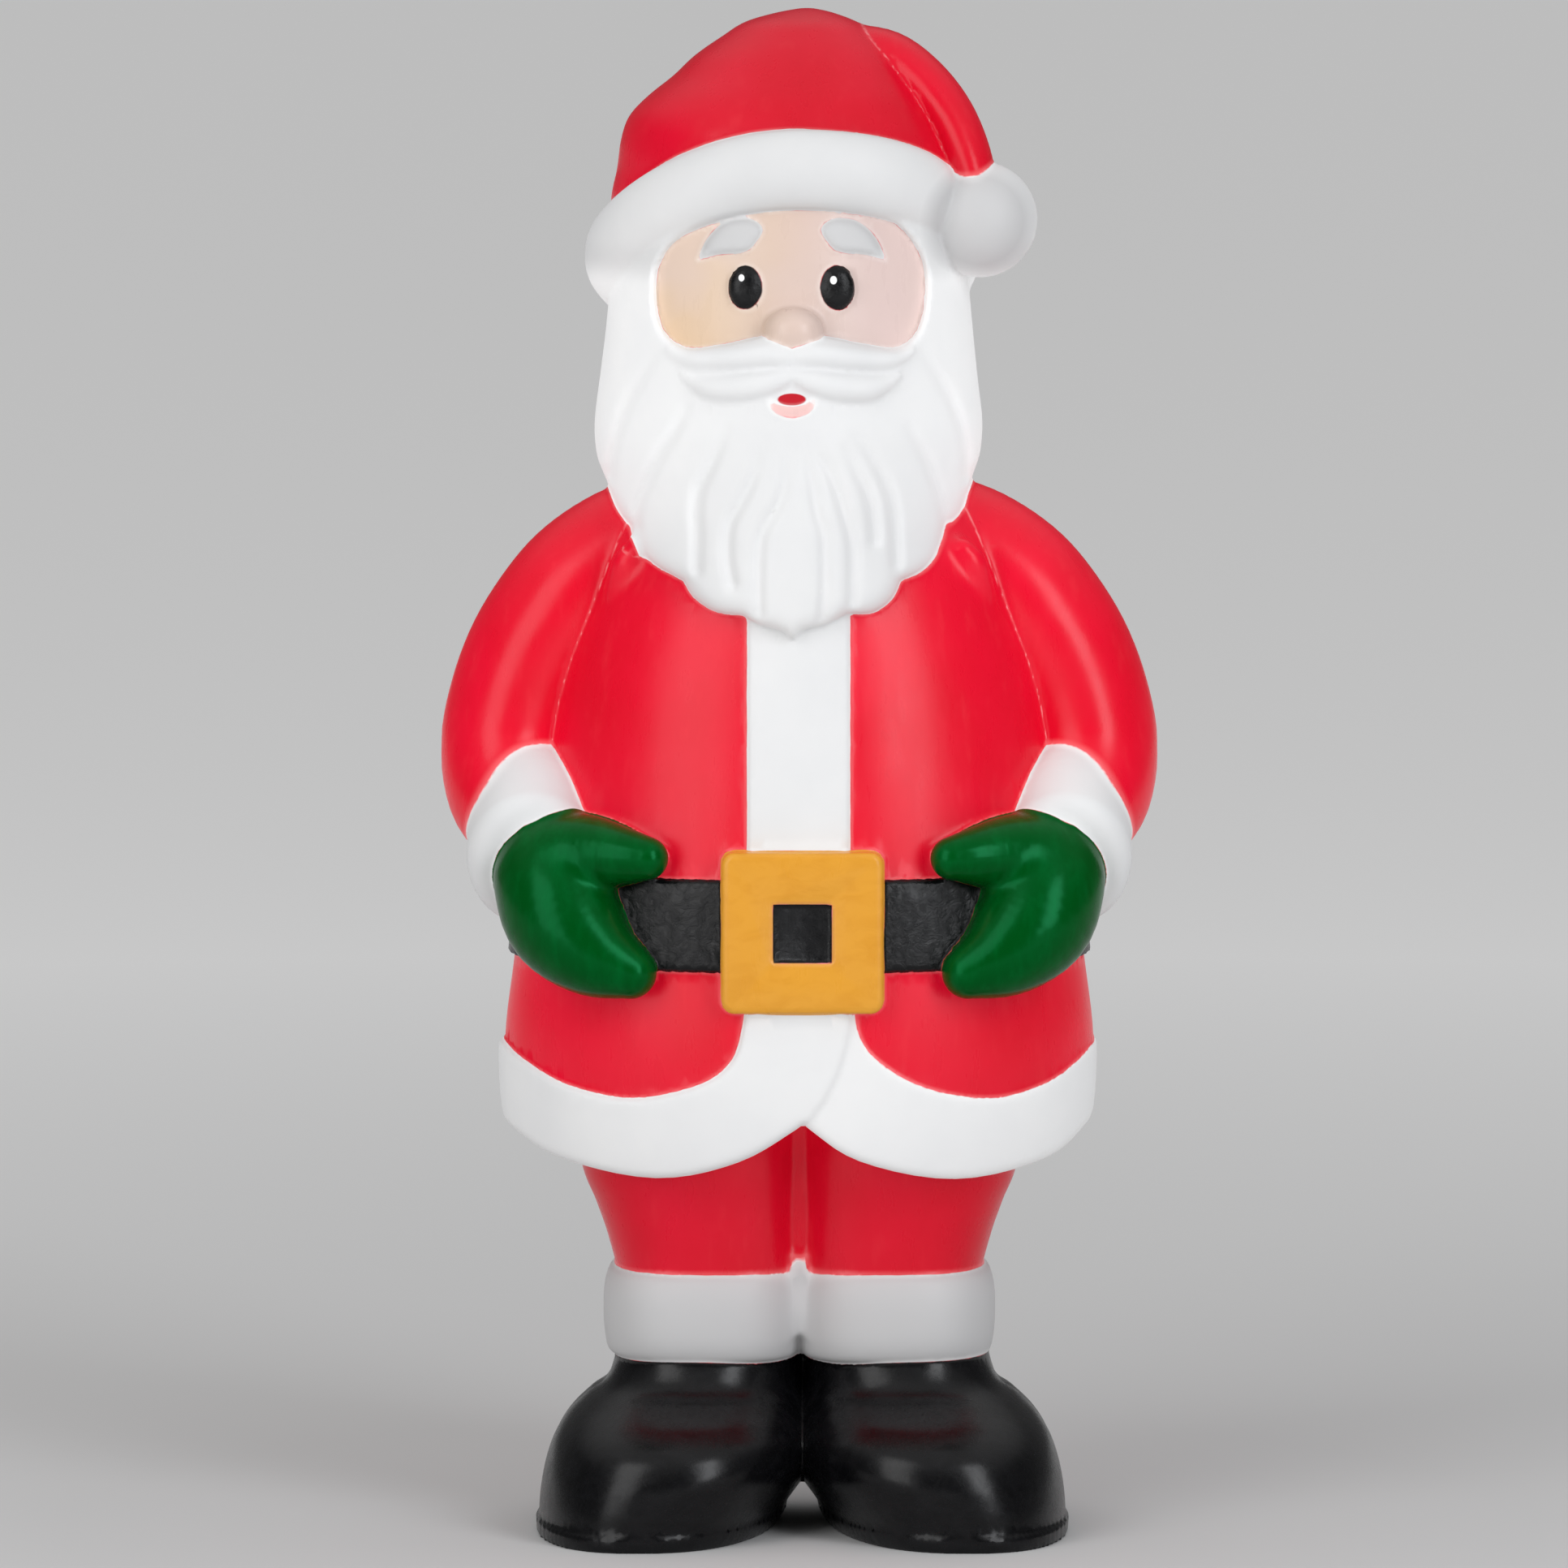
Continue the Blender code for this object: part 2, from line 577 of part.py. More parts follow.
def hat():
    """The hat with its fur brim, folded tail and pompom."""
    crown = stack("crown", HAT, "red", 40)
    tail = limb("tail", HAT_TAIL, "red", scale=(1, HAT_TAIL_DEPTH, 1))
    x, y, z, radius = POMPOM
    pompom = ball("pompom", (x, y, z), (radius,) * 3, "white", 16, 12)
    rings = []
    left, right, front, back = BRIM_REACH
    for turn in 2 * math.pi * np.arange(36) / 36:
        outward = np.array((math.sin(turn), -math.cos(turn), 0))
        reach = np.array((right if outward[0] > 0 else left, front if outward[1] < 0 else back, 0))
        centre = np.array(BRIM_CENTRE) + outward * reach
        bend = BRIM_BEND[1] if outward[0] > 0 and outward[1] < 0 else BRIM_BEND[0]
        centre[2] -= math.copysign(BRIM_DIP * abs(outward[1]) ** bend, outward[1])
        angle = 2 * math.pi * np.arange(10) / 10
        tall = BRIM_TALLNESS + (BRIM_FRONT_TALLNESS - BRIM_TALLNESS) * max(-outward[1], 0) ** 2
        across = np.outer(np.cos(angle), outward * BRIM_THICKNESS)
        rings.append(centre + across + np.outer(np.sin(angle), (0, 0, tall)))
    brim = skin("brim", rings, "white", closed=True)
    return combine("UNION", crown, brim, tail, pompom)


def arm(side):
    """A sleeve, its fur cuff and the mitten that holds the belt."""
    return combine(
        "UNION",
        limb(f"sleeve{side}", SLEEVE, "red", sides=18, per_span=1, scale=(1, SLEEVE_DEPTH, 1), side=-side),
        limb(
            f"cuff{side}", CUFF, "white", sides=18, scale=(1, 1, CUFF_TALLNESS), side=-side, bulge=CUFF_BULGE
        ),
        limb(f"hand{side}", MITTEN_HAND, "green", sides=14, side=-side),
        limb(f"thumb{side}", MITTEN_THUMB, "green", sides=10, side=-side),
    )


def leg(side):
    """A trouser leg, the fur round its boot and the boot."""
    return combine(
        "UNION",
        stack(f"leg{side}", LEG, "red", 24, side=side),
        stack(f"boot_cuff{side}", BOOT_CUFF, "white", 26, squareness=2.2, side=side),
        stack(f"boot{side}", BOOT, "black", 28, squareness=BOOT_SQUARENESS, side=side, axis=BOOT_AXIS),
    )


def drum(name, radius, near, far, height, paint=None, segments=28):
    """A round bar along Y, from near to far, at a height on the figure's middle."""
    bm = bmesh.new()
    bmesh.ops.create_cone(
        bm, cap_ends=True, segments=segments, radius1=radius, radius2=radius, depth=far - near
    )
    place = Matrix.Translation((0, (near + far) / 2, height)) @ Matrix.Rotation(math.pi / 2, 4, "X")
    bmesh.ops.transform(bm, matrix=place, verts=bm.verts)
    return new_object(name, bm, paint)


def without_slivers(joined):
    """The joined shell with fewer triangles, and with the slivers along its seams closed up."""
    fewer = joined.modifiers.new("fewer", "DECIMATE")
    fewer.ratio = KEPT_SHARE
    name = joined.name
    made = as_mesh(joined, name)
    bm = bmesh.new()
    bm.from_mesh(made.data)
    bmesh.ops.dissolve_degenerate(bm, edges=bm.edges[:], dist=SLIVER_WIDTH)
    bmesh.ops.triangulate(bm, faces=bm.faces[:])
    bm.to_mesh(made.data)
    bm.free()
    return made


def lamp_land():
    """How far back the flat land for the lamp cap stands."""
    rows = np.array(COAT)
    return np.interp(LAMP_CAP_HEIGHT / UNIT, rows[:, 0], rows[:, 4]) * UNIT + LAMP_LAND_RISE


def lamp_cap(land):
    """The turned cap that holds the lamp and lets its cord in, seated in the shell's back."""
    neck = LAMP_HOLE_RADIUS - CLEARANCE
    flange = LAMP_HOLE_RADIUS + LAMP_FLANGE_WIDTH
    face = CLEARANCE + LAMP_FLANGE_THICKNESS
    profile = (
        (CORD_HOLE_RADIUS, face + GLAND_LENGTH),
        (GLAND_RADIUS - CAP_EDGE, face + GLAND_LENGTH),
        (GLAND_RADIUS, face),
        (flange - CAP_EDGE, face),
        (flange, face - CAP_EDGE),
        (flange, CLEARANCE),
        (neck, CLEARANCE),
        (neck, -LAMP_NECK_LENGTH),
        (CORD_HOLE_RADIUS, -LAMP_NECK_LENGTH),
    )
    mesh = bpy.data.meshes.new("lamp_cap")
    corners = [(radius, 0, height) for radius, height in profile]
    edges = [(i, (i + 1) % len(corners)) for i in range(len(corners))]
    mesh.from_pydata(corners, edges, [])
    made = bpy.data.objects.new("lamp_cap", mesh)
    PARTS.objects.link(made)
    made.rotation_euler = (-math.pi / 2, 0, 0)
    made.location = (0, land, LAMP_CAP_HEIGHT)
    turned = made.modifiers.new("turned", "SCREW")
    turned.steps = turned.render_steps = 28
    turned.use_merge_vertices = True
    turned.merge_threshold = 0.00001
    mesh.materials.append(material("cap_plastic", *CAP_COLOUR))
    return made


def centre_on_origin(shell, cap):
    """Puts the middle of the figure's box over the origin, with its soles at height zero."""
    corners = np.array([v.co for v in shell.data.vertices])
    low, high = corners.min(axis=0), corners.max(axis=0)
    back = cap.location.y + CLEARANCE + LAMP_FLANGE_THICKNESS + GLAND_LENGTH
    high[1] = max(high[1], back)
    move = Vector(((low[0] + high[0]) / -2, (low[1] + high[1]) / -2, -low[2]))
    for made in (shell, cap):
        made.location += move


def main():
    for paint, (colour, roughness) in PAINTS.items():
        material(paint, colour, roughness)
    land = lamp_land()
    margin = LAMP_HOLE_RADIUS + LAMP_FLANGE_WIDTH + LAMP_LAND_MARGIN
    flat = drum("land", margin, land - LAMP_LAND_ROOT, land, LAMP_CAP_HEIGHT, "red")
    arms = [arm(side) for side in (-1, 1)]
    legs = combine("UNION", *[leg(side) for side in (-1, 1)])
    shell = combine("UNION", coat(), combine("UNION", head(), hat()), *arms, legs, flat)
    mouth = land + LAMP_FLANGE_WIDTH
    pocket = drum("pocket", LAMP_HOLE_RADIUS, land - LAMP_HOLE_DEPTH, mouth, LAMP_CAP_HEIGHT, "white")
    shell = combine("DIFFERENCE", shell, pocket)
    shell = without_slivers(shell)
    HELPERS.objects.unlink(shell)
    PARTS.objects.link(shell)
    shell.name = "santa_shell"
    shell.data.set_sharp_from_angle(angle=math.radians(40))
    cap = lamp_cap(land)
    centre_on_origin(shell, cap)


for old in list(bpy.data.objects):
    bpy.data.objects.remove(old)
PARTS = bpy.data.collections.new("lighted santa figure")
HELPERS = bpy.data.collections.new("shapes to join")
for collection in (PARTS, HELPERS):
    bpy.context.scene.collection.children.link(collection)
main()
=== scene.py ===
"""Lighted Santa figure: the painted, softly glowing shell, worked out as a field of distances and meshed.

Forms are drawn in figure units, 610ths of the figure's height, in front of and behind the plane y = 0.
"""

import math

import bpy
import numpy as np
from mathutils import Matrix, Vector


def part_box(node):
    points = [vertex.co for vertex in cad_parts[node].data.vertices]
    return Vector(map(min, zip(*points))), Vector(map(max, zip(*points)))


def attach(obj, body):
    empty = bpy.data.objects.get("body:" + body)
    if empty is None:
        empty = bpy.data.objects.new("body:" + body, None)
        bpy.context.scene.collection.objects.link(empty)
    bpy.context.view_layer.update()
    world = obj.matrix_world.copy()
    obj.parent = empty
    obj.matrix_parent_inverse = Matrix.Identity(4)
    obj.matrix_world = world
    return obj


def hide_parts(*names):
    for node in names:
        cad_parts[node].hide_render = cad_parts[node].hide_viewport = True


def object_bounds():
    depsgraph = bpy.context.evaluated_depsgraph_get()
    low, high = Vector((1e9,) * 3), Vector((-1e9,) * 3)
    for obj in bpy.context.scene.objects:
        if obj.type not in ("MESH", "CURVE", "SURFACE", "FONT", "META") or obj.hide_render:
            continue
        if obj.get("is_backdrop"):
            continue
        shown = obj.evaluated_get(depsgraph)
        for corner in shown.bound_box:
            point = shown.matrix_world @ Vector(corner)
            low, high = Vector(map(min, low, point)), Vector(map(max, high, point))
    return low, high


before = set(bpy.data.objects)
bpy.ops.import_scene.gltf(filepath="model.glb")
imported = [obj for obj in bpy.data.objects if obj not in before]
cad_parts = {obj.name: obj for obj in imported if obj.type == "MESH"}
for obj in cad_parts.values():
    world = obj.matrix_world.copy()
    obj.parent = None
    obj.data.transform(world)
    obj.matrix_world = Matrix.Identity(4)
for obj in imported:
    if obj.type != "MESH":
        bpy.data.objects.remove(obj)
CAD_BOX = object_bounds()
SHELL_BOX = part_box("santa_shell")
CAP_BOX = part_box("lamp_cap")

UNIT = float(SHELL_BOX[1][2] - SHELL_BOX[0][2]) / 610
FACE_AXIS = -3

# Meshing, in figure units
CELL = 1.75
BLOCK = 4
REACH = 14.0
GRID_LOW = (-150.0, -104.0, -6.0)
GRID_HIGH = (150.0, 92.0, 618.0)
FAR = 60.0
TRIANGLES = 190000

# Rows of the stacked forms: height, left and right reach, front and back reach
COAT = (
    (128, -106, 106, 76, 62),
    (163, -116.5, 116.5, 83, 68),
    (196, -118.5, 118.5, 86, 71),
    (231, -114.5, 114.5, 85.5, 72),
    (260, -112, 112, 84.5, 72),
    (290, -109, 109, 83, 71),
    (320, -105, 105, 80.5, 68),
    (350, -99, 99, 77, 63),
    (380, -88, 88, 71, 56),
    (400, -79, 79, 63, 50),
    (418, -66, 66, 50, 43),
    (432, -50, 50, 38, 34),
)
HEAD = (
    (402, -50, 42, 34, 42),
    (414, -66, 58, 48, 53),
    (440, -74, 66, 60, 60),
    (460, -75.5, 67.5, 66, 63),
    (480, -74, 66, 69, 65),
    (500, -72, 64, 69, 65),
    (520, -70, 62, 67, 64),
    (545, -60, 54, 58, 58),
    (565, -42, 36, 40, 42),
)
BEARD = (
    (340, -72, 64, 82, 14),
    (375, -80, 72, 85.5, 20),
    (400, -76, 68, 86, 24),
    (420, -78.5, 70.5, 85, 26),
    (432, -81, 72.2, 84, 27),
    (445, -81.7, 73, 83, 28),
    (463, -79.5, 71, 80, 30),
    (483, -77, 69, 77, 30),
    (505, -75, 67, 73, 30),
    (525, -73, 65, 69, 28),
    (545, -64, 57, 60, 24),
)
HAT = (
    (478, -66, 58, 30, 71),
    (505, -73, 66, 40, 76),
    (531, -75.5, 68, 56, 78),
    (546, -73, 67, 64, 77),
    (558, -71.3, 61, 63, 73),
    (567, -68, 56, 59, 69),
    (575, -60.5, 51, 54, 64),
    (583, -50.5, 45, 47, 57),
    (591, -42, 39, 39, 47),
    (598.5, -31.3, 31, 30, 36),
    (605, -20.5, 22, 20, 23),
    (610, -2, 8, 4, 5),
)
LEG = (
    (196, 0, 92, 57, 55),
    (150, -1.5, 88.5, 54, 52),
    (131, -1.5, 82, 51, 50),
    (118, -2, 77.5, 49, 48),
    (100, -2, 73, 47, 46),
    (84, -2, 72, 46, 45),
)
BOOT_CUFF = (
    (107, -1, 73, 46, 45),
    (103, -2, 76.5, 49.5, 48),
    (96, -2.5, 78.6, 51.5, 50),
    (86, -2.5, 79, 52, 50.5),
    (77, -2, 78.4, 51.2, 49.8),
    (71, -1, 77, 48.8, 48),
    (68.5, 0, 73.5, 46, 45),
)
BOOT = (
    (80, 0, 72, 44, 45),
    (60, -1, 77.7, 53, 50.5),
    (53, -3, 85.8, 65, 54),
    (46, -6, 93.1, 80, 57),
    (38, -8.5, 98.4, 90, 59.5),
    (28, -8, 101.9, 94.4, 61.5),
    (17, -0.5, 103.9, 95, 62.5),
    (8, 6, 104.5, 94.6, 62.6),
    (0, 10.5, 104.1, 94, 62.2),
)
# Fillings between the legs and between the boots' fur, which leave a shallow valley there
LEG_WEB = (
    (196, -6, 6, 34, 32),
    (150, -6, 6, 34, 33),
    (128, -6, 6, 34, 33),
    (106, -6, 6, 33, 32),
)
BOOT_CUFF_WEB = (
    (110, -6, 6, 33, 32),
    (104, -6, 6, 35, 33),
    (90, -6, 6, 36, 34),
    (80, -6, 6, 34, 33),
)
LEG_SQUARENESS = 2.7
WEB_SOFTNESS = 5.5
BOOT_TURN = 0.09
BOOT_AXIS = 1.2
BOOT_SQUARENESS = 2.35
SOLE_TOP = 6.4
SOLE_PROUD = 1.3

# Paths of the round forms: x, y, z and radius, on the -X side where there are two
SLEEVE = (
    (-56, 0, 401.2, 22.4),
    (-71, 0, 393, 24.8),
    (-84.6, 0, 381.2, 27.2),
    (-94.8, -1, 369, 27.9),
    (-105.7, -2, 352.2, 27.7),
    (-113.2, -3, 334, 27.2),
    (-117, -5, 315, 27),
    (-115.5, -13, 298, 26),
    (-110, -25, 287.5, 23.5),
)
SLEEVE_DEPTH = 1.18
FOLD_SOFTNESS = 8.0
ARMPIT_FOLD = ((-66, -42, 396, 3), (-70, -40, 390, 4.5), (-74, -37, 379, 1.5))
CUFF = ((-112, -18, 294, 22), (-107.8, -32, 284.5, 25), (-106.8, -46, 275.5, 25.8))
CUFF_TALLNESS = 1.25
CUFF_BULGE = 0.3
MITTEN_HAND = (
    (-99, -48, 270, 22.5),
    (-97.5, -57, 263, 24),
    (-93, -65, 250, 23.5),
    (-82, -74, 238, 17.6),
    (-67, -80, 230.5, 10.5),
)
MITTEN_THUMB = ((-97, -54, 273, 20), (-83, -66, 276.5, 15), (-70, -76, 276.5, 11.3), (-60.5, -81, 276, 8.6))
HAT_TAIL = (
    (20, -3, 596, 8),
    (36, -6, 591, 10),
    (49, -9, 581, 10.5),
    (59.5, -12, 567.5, 10.5),
    (66.5, -16, 552, 10),
    (70.5, -20, 538, 8.5),
)
HAT_TAIL_DEPTH = 1.5
POMPOM = (71.8, -21, 526.5)
POMPOM_RADIUS = 23.2
MOUSTACHE_WING = (
    (-3.4, -77.2, 474.6, 5),
    (-9.4, -76.8, 475.4, 5.2),
    (-22.5, -74.4, 473.8, 4.6),
    (-35.6, -68.9, 472.7, 3.6),
    (-42.8, -64.5, 473.5, 2.2),
    (-48.6, -59.5, 476.4, 0.9),
)
MOUSTACHE_UNDERWING = (
    (-1.6, -79.1, 466.9, 3.3),
    (-8.3, -78.6, 464.6, 5),
    (-18.1, -76.5, 462.4, 6),
    (-29, -73, 461.7, 5.4),
    (-36.7, -69.9, 463.3, 3),
    (-43.1, -65.6, 466.9, 1),
)
EYEBROW_EDGE = (
    (
        (-37.4, 511.8), (-34.5, 519), (-30.2, 524.5), (-24.6, 528), (-17.8, 528.8), (-13.2, 527),
        (-11.5, 524), (-14, 519.5), (-17, 516.3), (-21.5, 514.9), (-28.3, 514.4), (-37.4, 511.8),
    ),
)
LIP = (
    (-8.6, -79.5, 457, 1.2),
    (-5.6, -80.5, 454, 2),
    (0, -81, 452.7, 2.3),
    (5.6, -80.5, 454, 2),
    (8.6, -79.5, 457, 1.2),
)
NOSE = (0.6, -72, 484.5)
NOSE_RADII = (11.7, 10, 9.3)
EYE = (17.4, -65.8, 501.2)
EYE_RADII = (7.4, 3.6, 8.9)
MOUTH = (0, 458)
MOUTH_RADII = (5.7, 2.4)
GLINTS = ((-2.5, 4.2, 1.15), (-0.9, 3.3, 1.35))

# The hat's fur brim: a ring about the head that dips from the brow to the nape
BRIM_CENTRE = (1, 0, 511)
BRIM_REACH = (77, 61, 63, 68)
BRIM_DIP = 37
BRIM_BEND = (1.5, 0.65)
BRIM_THICKNESS = 10
BRIM_TALLNESS = 17
BRIM_FRONT_TALLNESS = 15.8

# Outlines seen from the front: smooth arcs that meet at corners, as x and z
BEARD_EDGE = (
    ((-95, 436), (-84, 426), (-77.5, 418.5), (-73.6, 410.7), (-67.7, 404.8)),
    ((-67.7, 404.8), (-65.5, 398.5), (-57.9, 391), (-45.6, 385)),
    ((-45.6, 385), (-42, 379), (-33.5, 373.5), (-22.4, 372.2)),
    ((-22.4, 372.2), (-16, 368.6), (-7.4, 366.3), (-2.9, 362.4)),
    ((-2.9, 362.4), (1.6, 366.4), (11, 368.8), (19.2, 373.1)),
    ((19.2, 373.1), (29, 373), (36.5, 378), (40.2, 385.2)),
    ((40.2, 385.2), (49.9, 388.5), (56, 394), (59, 402.3)),
    ((59, 402.3), (66.2, 409), (69, 418), (76, 428), (95, 436)),
)
FACE_EDGE = (
    (
        (-3, 536), (24, 534), (40, 525), (48.5, 513), (50.5, 499), (47.5, 484), (39, 477),
        (26, 478.6), (9, 482), (-14, 482), (-30, 478.6), (-45, 477), (-54.5, 484), (-57.5, 499),
        (-54.5, 513), (-43, 525), (-27, 534), (-3, 536),
    ),
)
RIGHT_SKIRT_PANEL = (
    (-21, 226), (-22.3, 209), (-27, 195), (-40, 185.3), (-66, 179), (-92, 182.3), (-110, 190), (-120, 196),
)
LEFT_SKIRT_PANEL = ((20.6, 226), (24, 204.5), (35.4, 192), (54, 182.6), (79, 178.6), (102, 184), (120, 196))
FLAP_EDGE = ((1.6, 168), (11.3, 182), (18.8, 201), (20.6, 226))
RIGHT_HEM_EDGE = ((-135, 165), (-118, 161.8), (-96, 152.3), (-57, 147), (-24, 154.7), (1.6, 170))
LEFT_HEM_EDGE = ((1.6, 170), (24, 155), (62, 146.3), (99, 151.6), (118, 163), (135, 166))
BACK_HEM = (163, 196)
HEM_SOFTNESS = 4.0
PLACKET = (-20.4, 19.8, 205, 400)
BELT = (231, 267)
BUCKLE_CENTRE = (1.2, 247)
BUCKLE_SIDE = 64
BUCKLE_CORNER = 5
BUCKLE_FRONT = 92
BUCKLE_HOLE_SIDE = 23.5
BUCKLE_HOLE_DEPTH = 2.6
FUR_PROUD = 1.2
TOP_FLAP_PROUD = 2.6
PLACKET_PROUD = 1.8
BELT_PROUD = 2.8
EYEBROW_PROUD = 2.6

# Grooves between the beard's locks, as x and z from root to tip
BEARD_GROOVES = (
    ((-44.7, 454), (-49.1, 445), (-54, 437.4), (-58.5, 429), (-62.4, 420), (-64.6, 413), (-65.2, 405.5)),
    ((-28.8, 446), (-32.1, 438), (-35.9, 429.5), (-39.7, 421.7), (-40.8, 413), (-40.3, 404), (-40.5, 390)),
    ((-13.5, 441), (-17.9, 428), (-22.2, 419), (-26.6, 411), (-28.2, 404.6), (-28.3, 396), (-26.6, 385)),
    ((-3.5, 440), (-5.3, 427), (-8.1, 417), (-13.5, 408), (-15.7, 400.5), (-16.2, 389.6), (-16, 374)),
    ((1.2, 440), (5, 427), (6.9, 413.6), (9.6, 405), (10.1, 395), (10.1, 384), (9, 372)),
    ((6.1, 444), (7.7, 436), (12.1, 429), (15.6, 420), (17.8, 412), (20.1, 404.6), (21.1, 395), (21, 378)),
    ((18.6, 439.5), (22.5, 429.6), (26.8, 421), (29.2, 411), (29.9, 402)),
    ((23, 443), (29, 434), (33.4, 426), (36.7, 417), (37.8, 408), (38.5, 392)),
    ((43.3, 446), (47.1, 439.5), (51, 431.6), (54.4, 422.5), (57.2, 413), (58.6, 405)),
    ((48.8, 475), (53.2, 468), (58.8, 459), (62.7, 450), (65.5, 441), (66.7, 433), (66.5, 424)),
    ((-57.9, 473), (-62.9, 465), (-67.4, 457), (-70.7, 449), (-73, 441), (-74.7, 433), (-75.4, 424)),
)

# The lamp cap's seat in the back, in metres as on the cap itself; LAND_PROUD is in the figure's units
LAMP_HOLE_RADIUS = 0.019
LAMP_HOLE_DEPTH = 0.016
LAND_RADIUS = 0.029
LAND_PROUD = 2
CAP_BACK = 0.0098

# Paints, as linear colours, most of them as two shades that run into each other
RED_SHADES = ((0.54, 0.002, 0.014), (0.61, 0.003, 0.022))
RED_BRUSHED = (0.64, 0.03, 0.04)
WHITE_SHADES = ((0.64, 0.64, 0.64), (0.60, 0.602, 0.607))
# White painted greyer as shade, round the boots, on the pompom and on the brows
WHITE_PAINTED_SHADE = (0.49, 0.487, 0.49)
SKIN_SHADES = ((0.63, 0.48, 0.36), (0.63, 0.49, 0.46))
SKIN_WARM = (0.62, 0.44, 0.28)
SKIN_CLOUDED = (0.63, 0.50, 0.45)
GREEN_SHADES = ((0.0, 0.062, 0.006), (0.0, 0.085, 0.012))
GREEN_GLOSS = (0.1, 1.0, 0.45)
GOLD_SHADES = ((0.64, 0.29, 0.03), (0.60, 0.26, 0.022))
BLACK_SHADES = ((0.002, 0.002, 0.0025), (0.006, 0.006, 0.007))
LIP_PINK = (0.60, 0.41, 0.39)
MOUTH_RED = (0.42, 0.003, 0.012)
GLINT_WHITE = (0.9, 0.9, 0.9)
# Painted light, where the lamp shows through at paint borders and seams
BORDER_LIGHT_CORAL = (0.85, 0.42, 0.42)
BORDER_LIGHT_PALE = (0.78, 0.77, 0.76)
CAP_SHADES = ((0.80, 0.80, 0.78), (0.74, 0.74, 0.72))
# The floor, darker round the figure as painted shade and paler further off
FLOOR_SHADES = ((0.56, 0.56, 0.56), (0.97, 0.97, 0.97))

# Where the paint, the painted shade, the light in it or the floor changes, in metres
FUR_ROUND_BOOTS = (0.11, 0.14)
BROWS_HEIGHT = 0.521
BROWS_REACH = (0.04, 0.012)
BOOT_SCUFF_END = (0.19, 0.21)
BRIM_FOOT = (0.50, 0.52)
FACE_FRONT = -0.03
FLOOR_FADE = (0.3, 2.2)
FLOOR_REACH = 60

# The camera, the lights and the room: metres, degrees and watts, and millimetres for lens and sensor
CAMERA_DISTANCE = 5.0
CAMERA_HEIGHT = 0.75
CAMERA_AIM = 0.305
CAMERA_LENS = 286.5
CAMERA_SENSOR = 36
CAMERA_SHIFT = (-0.0098, -0.0106)
CAMERA_REACH = 200
LIGHT_AIM = 0.3
LIGHT_DISTANCE = 2.2
LIGHT_AROUND = 38
LIGHT_UP = 20
LIGHT_POWER = 23.5
LEFT_LIGHT_SIZE = (1.2, 2.0)
RIGHT_LIGHT_SIZE = (0.75, 1.6)
RIGHT_LIGHT_COLOUR = (0.95, 0.97, 1.0)
ROOM_RISE = (0.4, 0.85)
ROOM_STRENGTH = (0.1, 0.85)


def smooth_line(points, per_span):
    """Points along the Catmull-Rom curve through the given ones, in any number of dimensions."""
    p = np.array(points, float)
    before, after = 2 * p[0] - p[1], 2 * p[-1] - p[-2]
    p = np.vstack([before, p, after])
    found = []
    for a, b, c, d in zip(p[:-3], p[1:-2], p[2:-1], p[3:]):
        for t in np.arange(per_span) / per_span:
            found.append(b + 0.5 * t * (c - a + t * (2 * a - 5 * b + 4 * c - d + t * (3 * (b - c) + d - a))))
    return np.array([*found, p[-2]])


def outline(*arcs):
    """One closed outline from arcs that meet at corners."""
    points = []
    for arc in arcs:
        line = smooth_line(arc, 5) if len(arc) > 2 else np.array(arc, float)
        if points and np.linalg.norm(points[-1] - line[0]) < 1e-6:
            line = line[1:]
        points.extend(line)
    if np.linalg.norm(points[-1] - points[0]) < 1e-6:
        points.pop()
    return np.array(points)


def join(a, b, soft):
    """The nearer of two distances, rounded over where they are alike."""
    h = np.clip(0.5 + 0.5 * (b - a) / soft, 0, 1)
    return b + (a - b) * h - soft * h * (1 - h)


def keep(a, b, soft):
    """What lies in both forms, its edge rounded."""
    return -join(-a, -b, soft)


def cut(a, b, soft):
    """The first form less the second, its edge rounded."""
    return -join(-a, b, soft)


def fade(value, start, end):
    """0 at the start and 1 at the end, eased."""
    t = np.clip((value - start) / (end - start), 0, 1)
    return t * t * (3 - 2 * t)


def near(low, high, distance):
    """A distance that is worked out only near its form's box, to save time."""
    low, high = np.array(low, float), np.array(high, float)

    def measured(p):
        away = np.linalg.norm(np.maximum(np.maximum(low - p, p - high), 0), axis=1)
        close = away < REACH
        if close.any():
            away[close] = distance(p[close])
        return away

    return measured


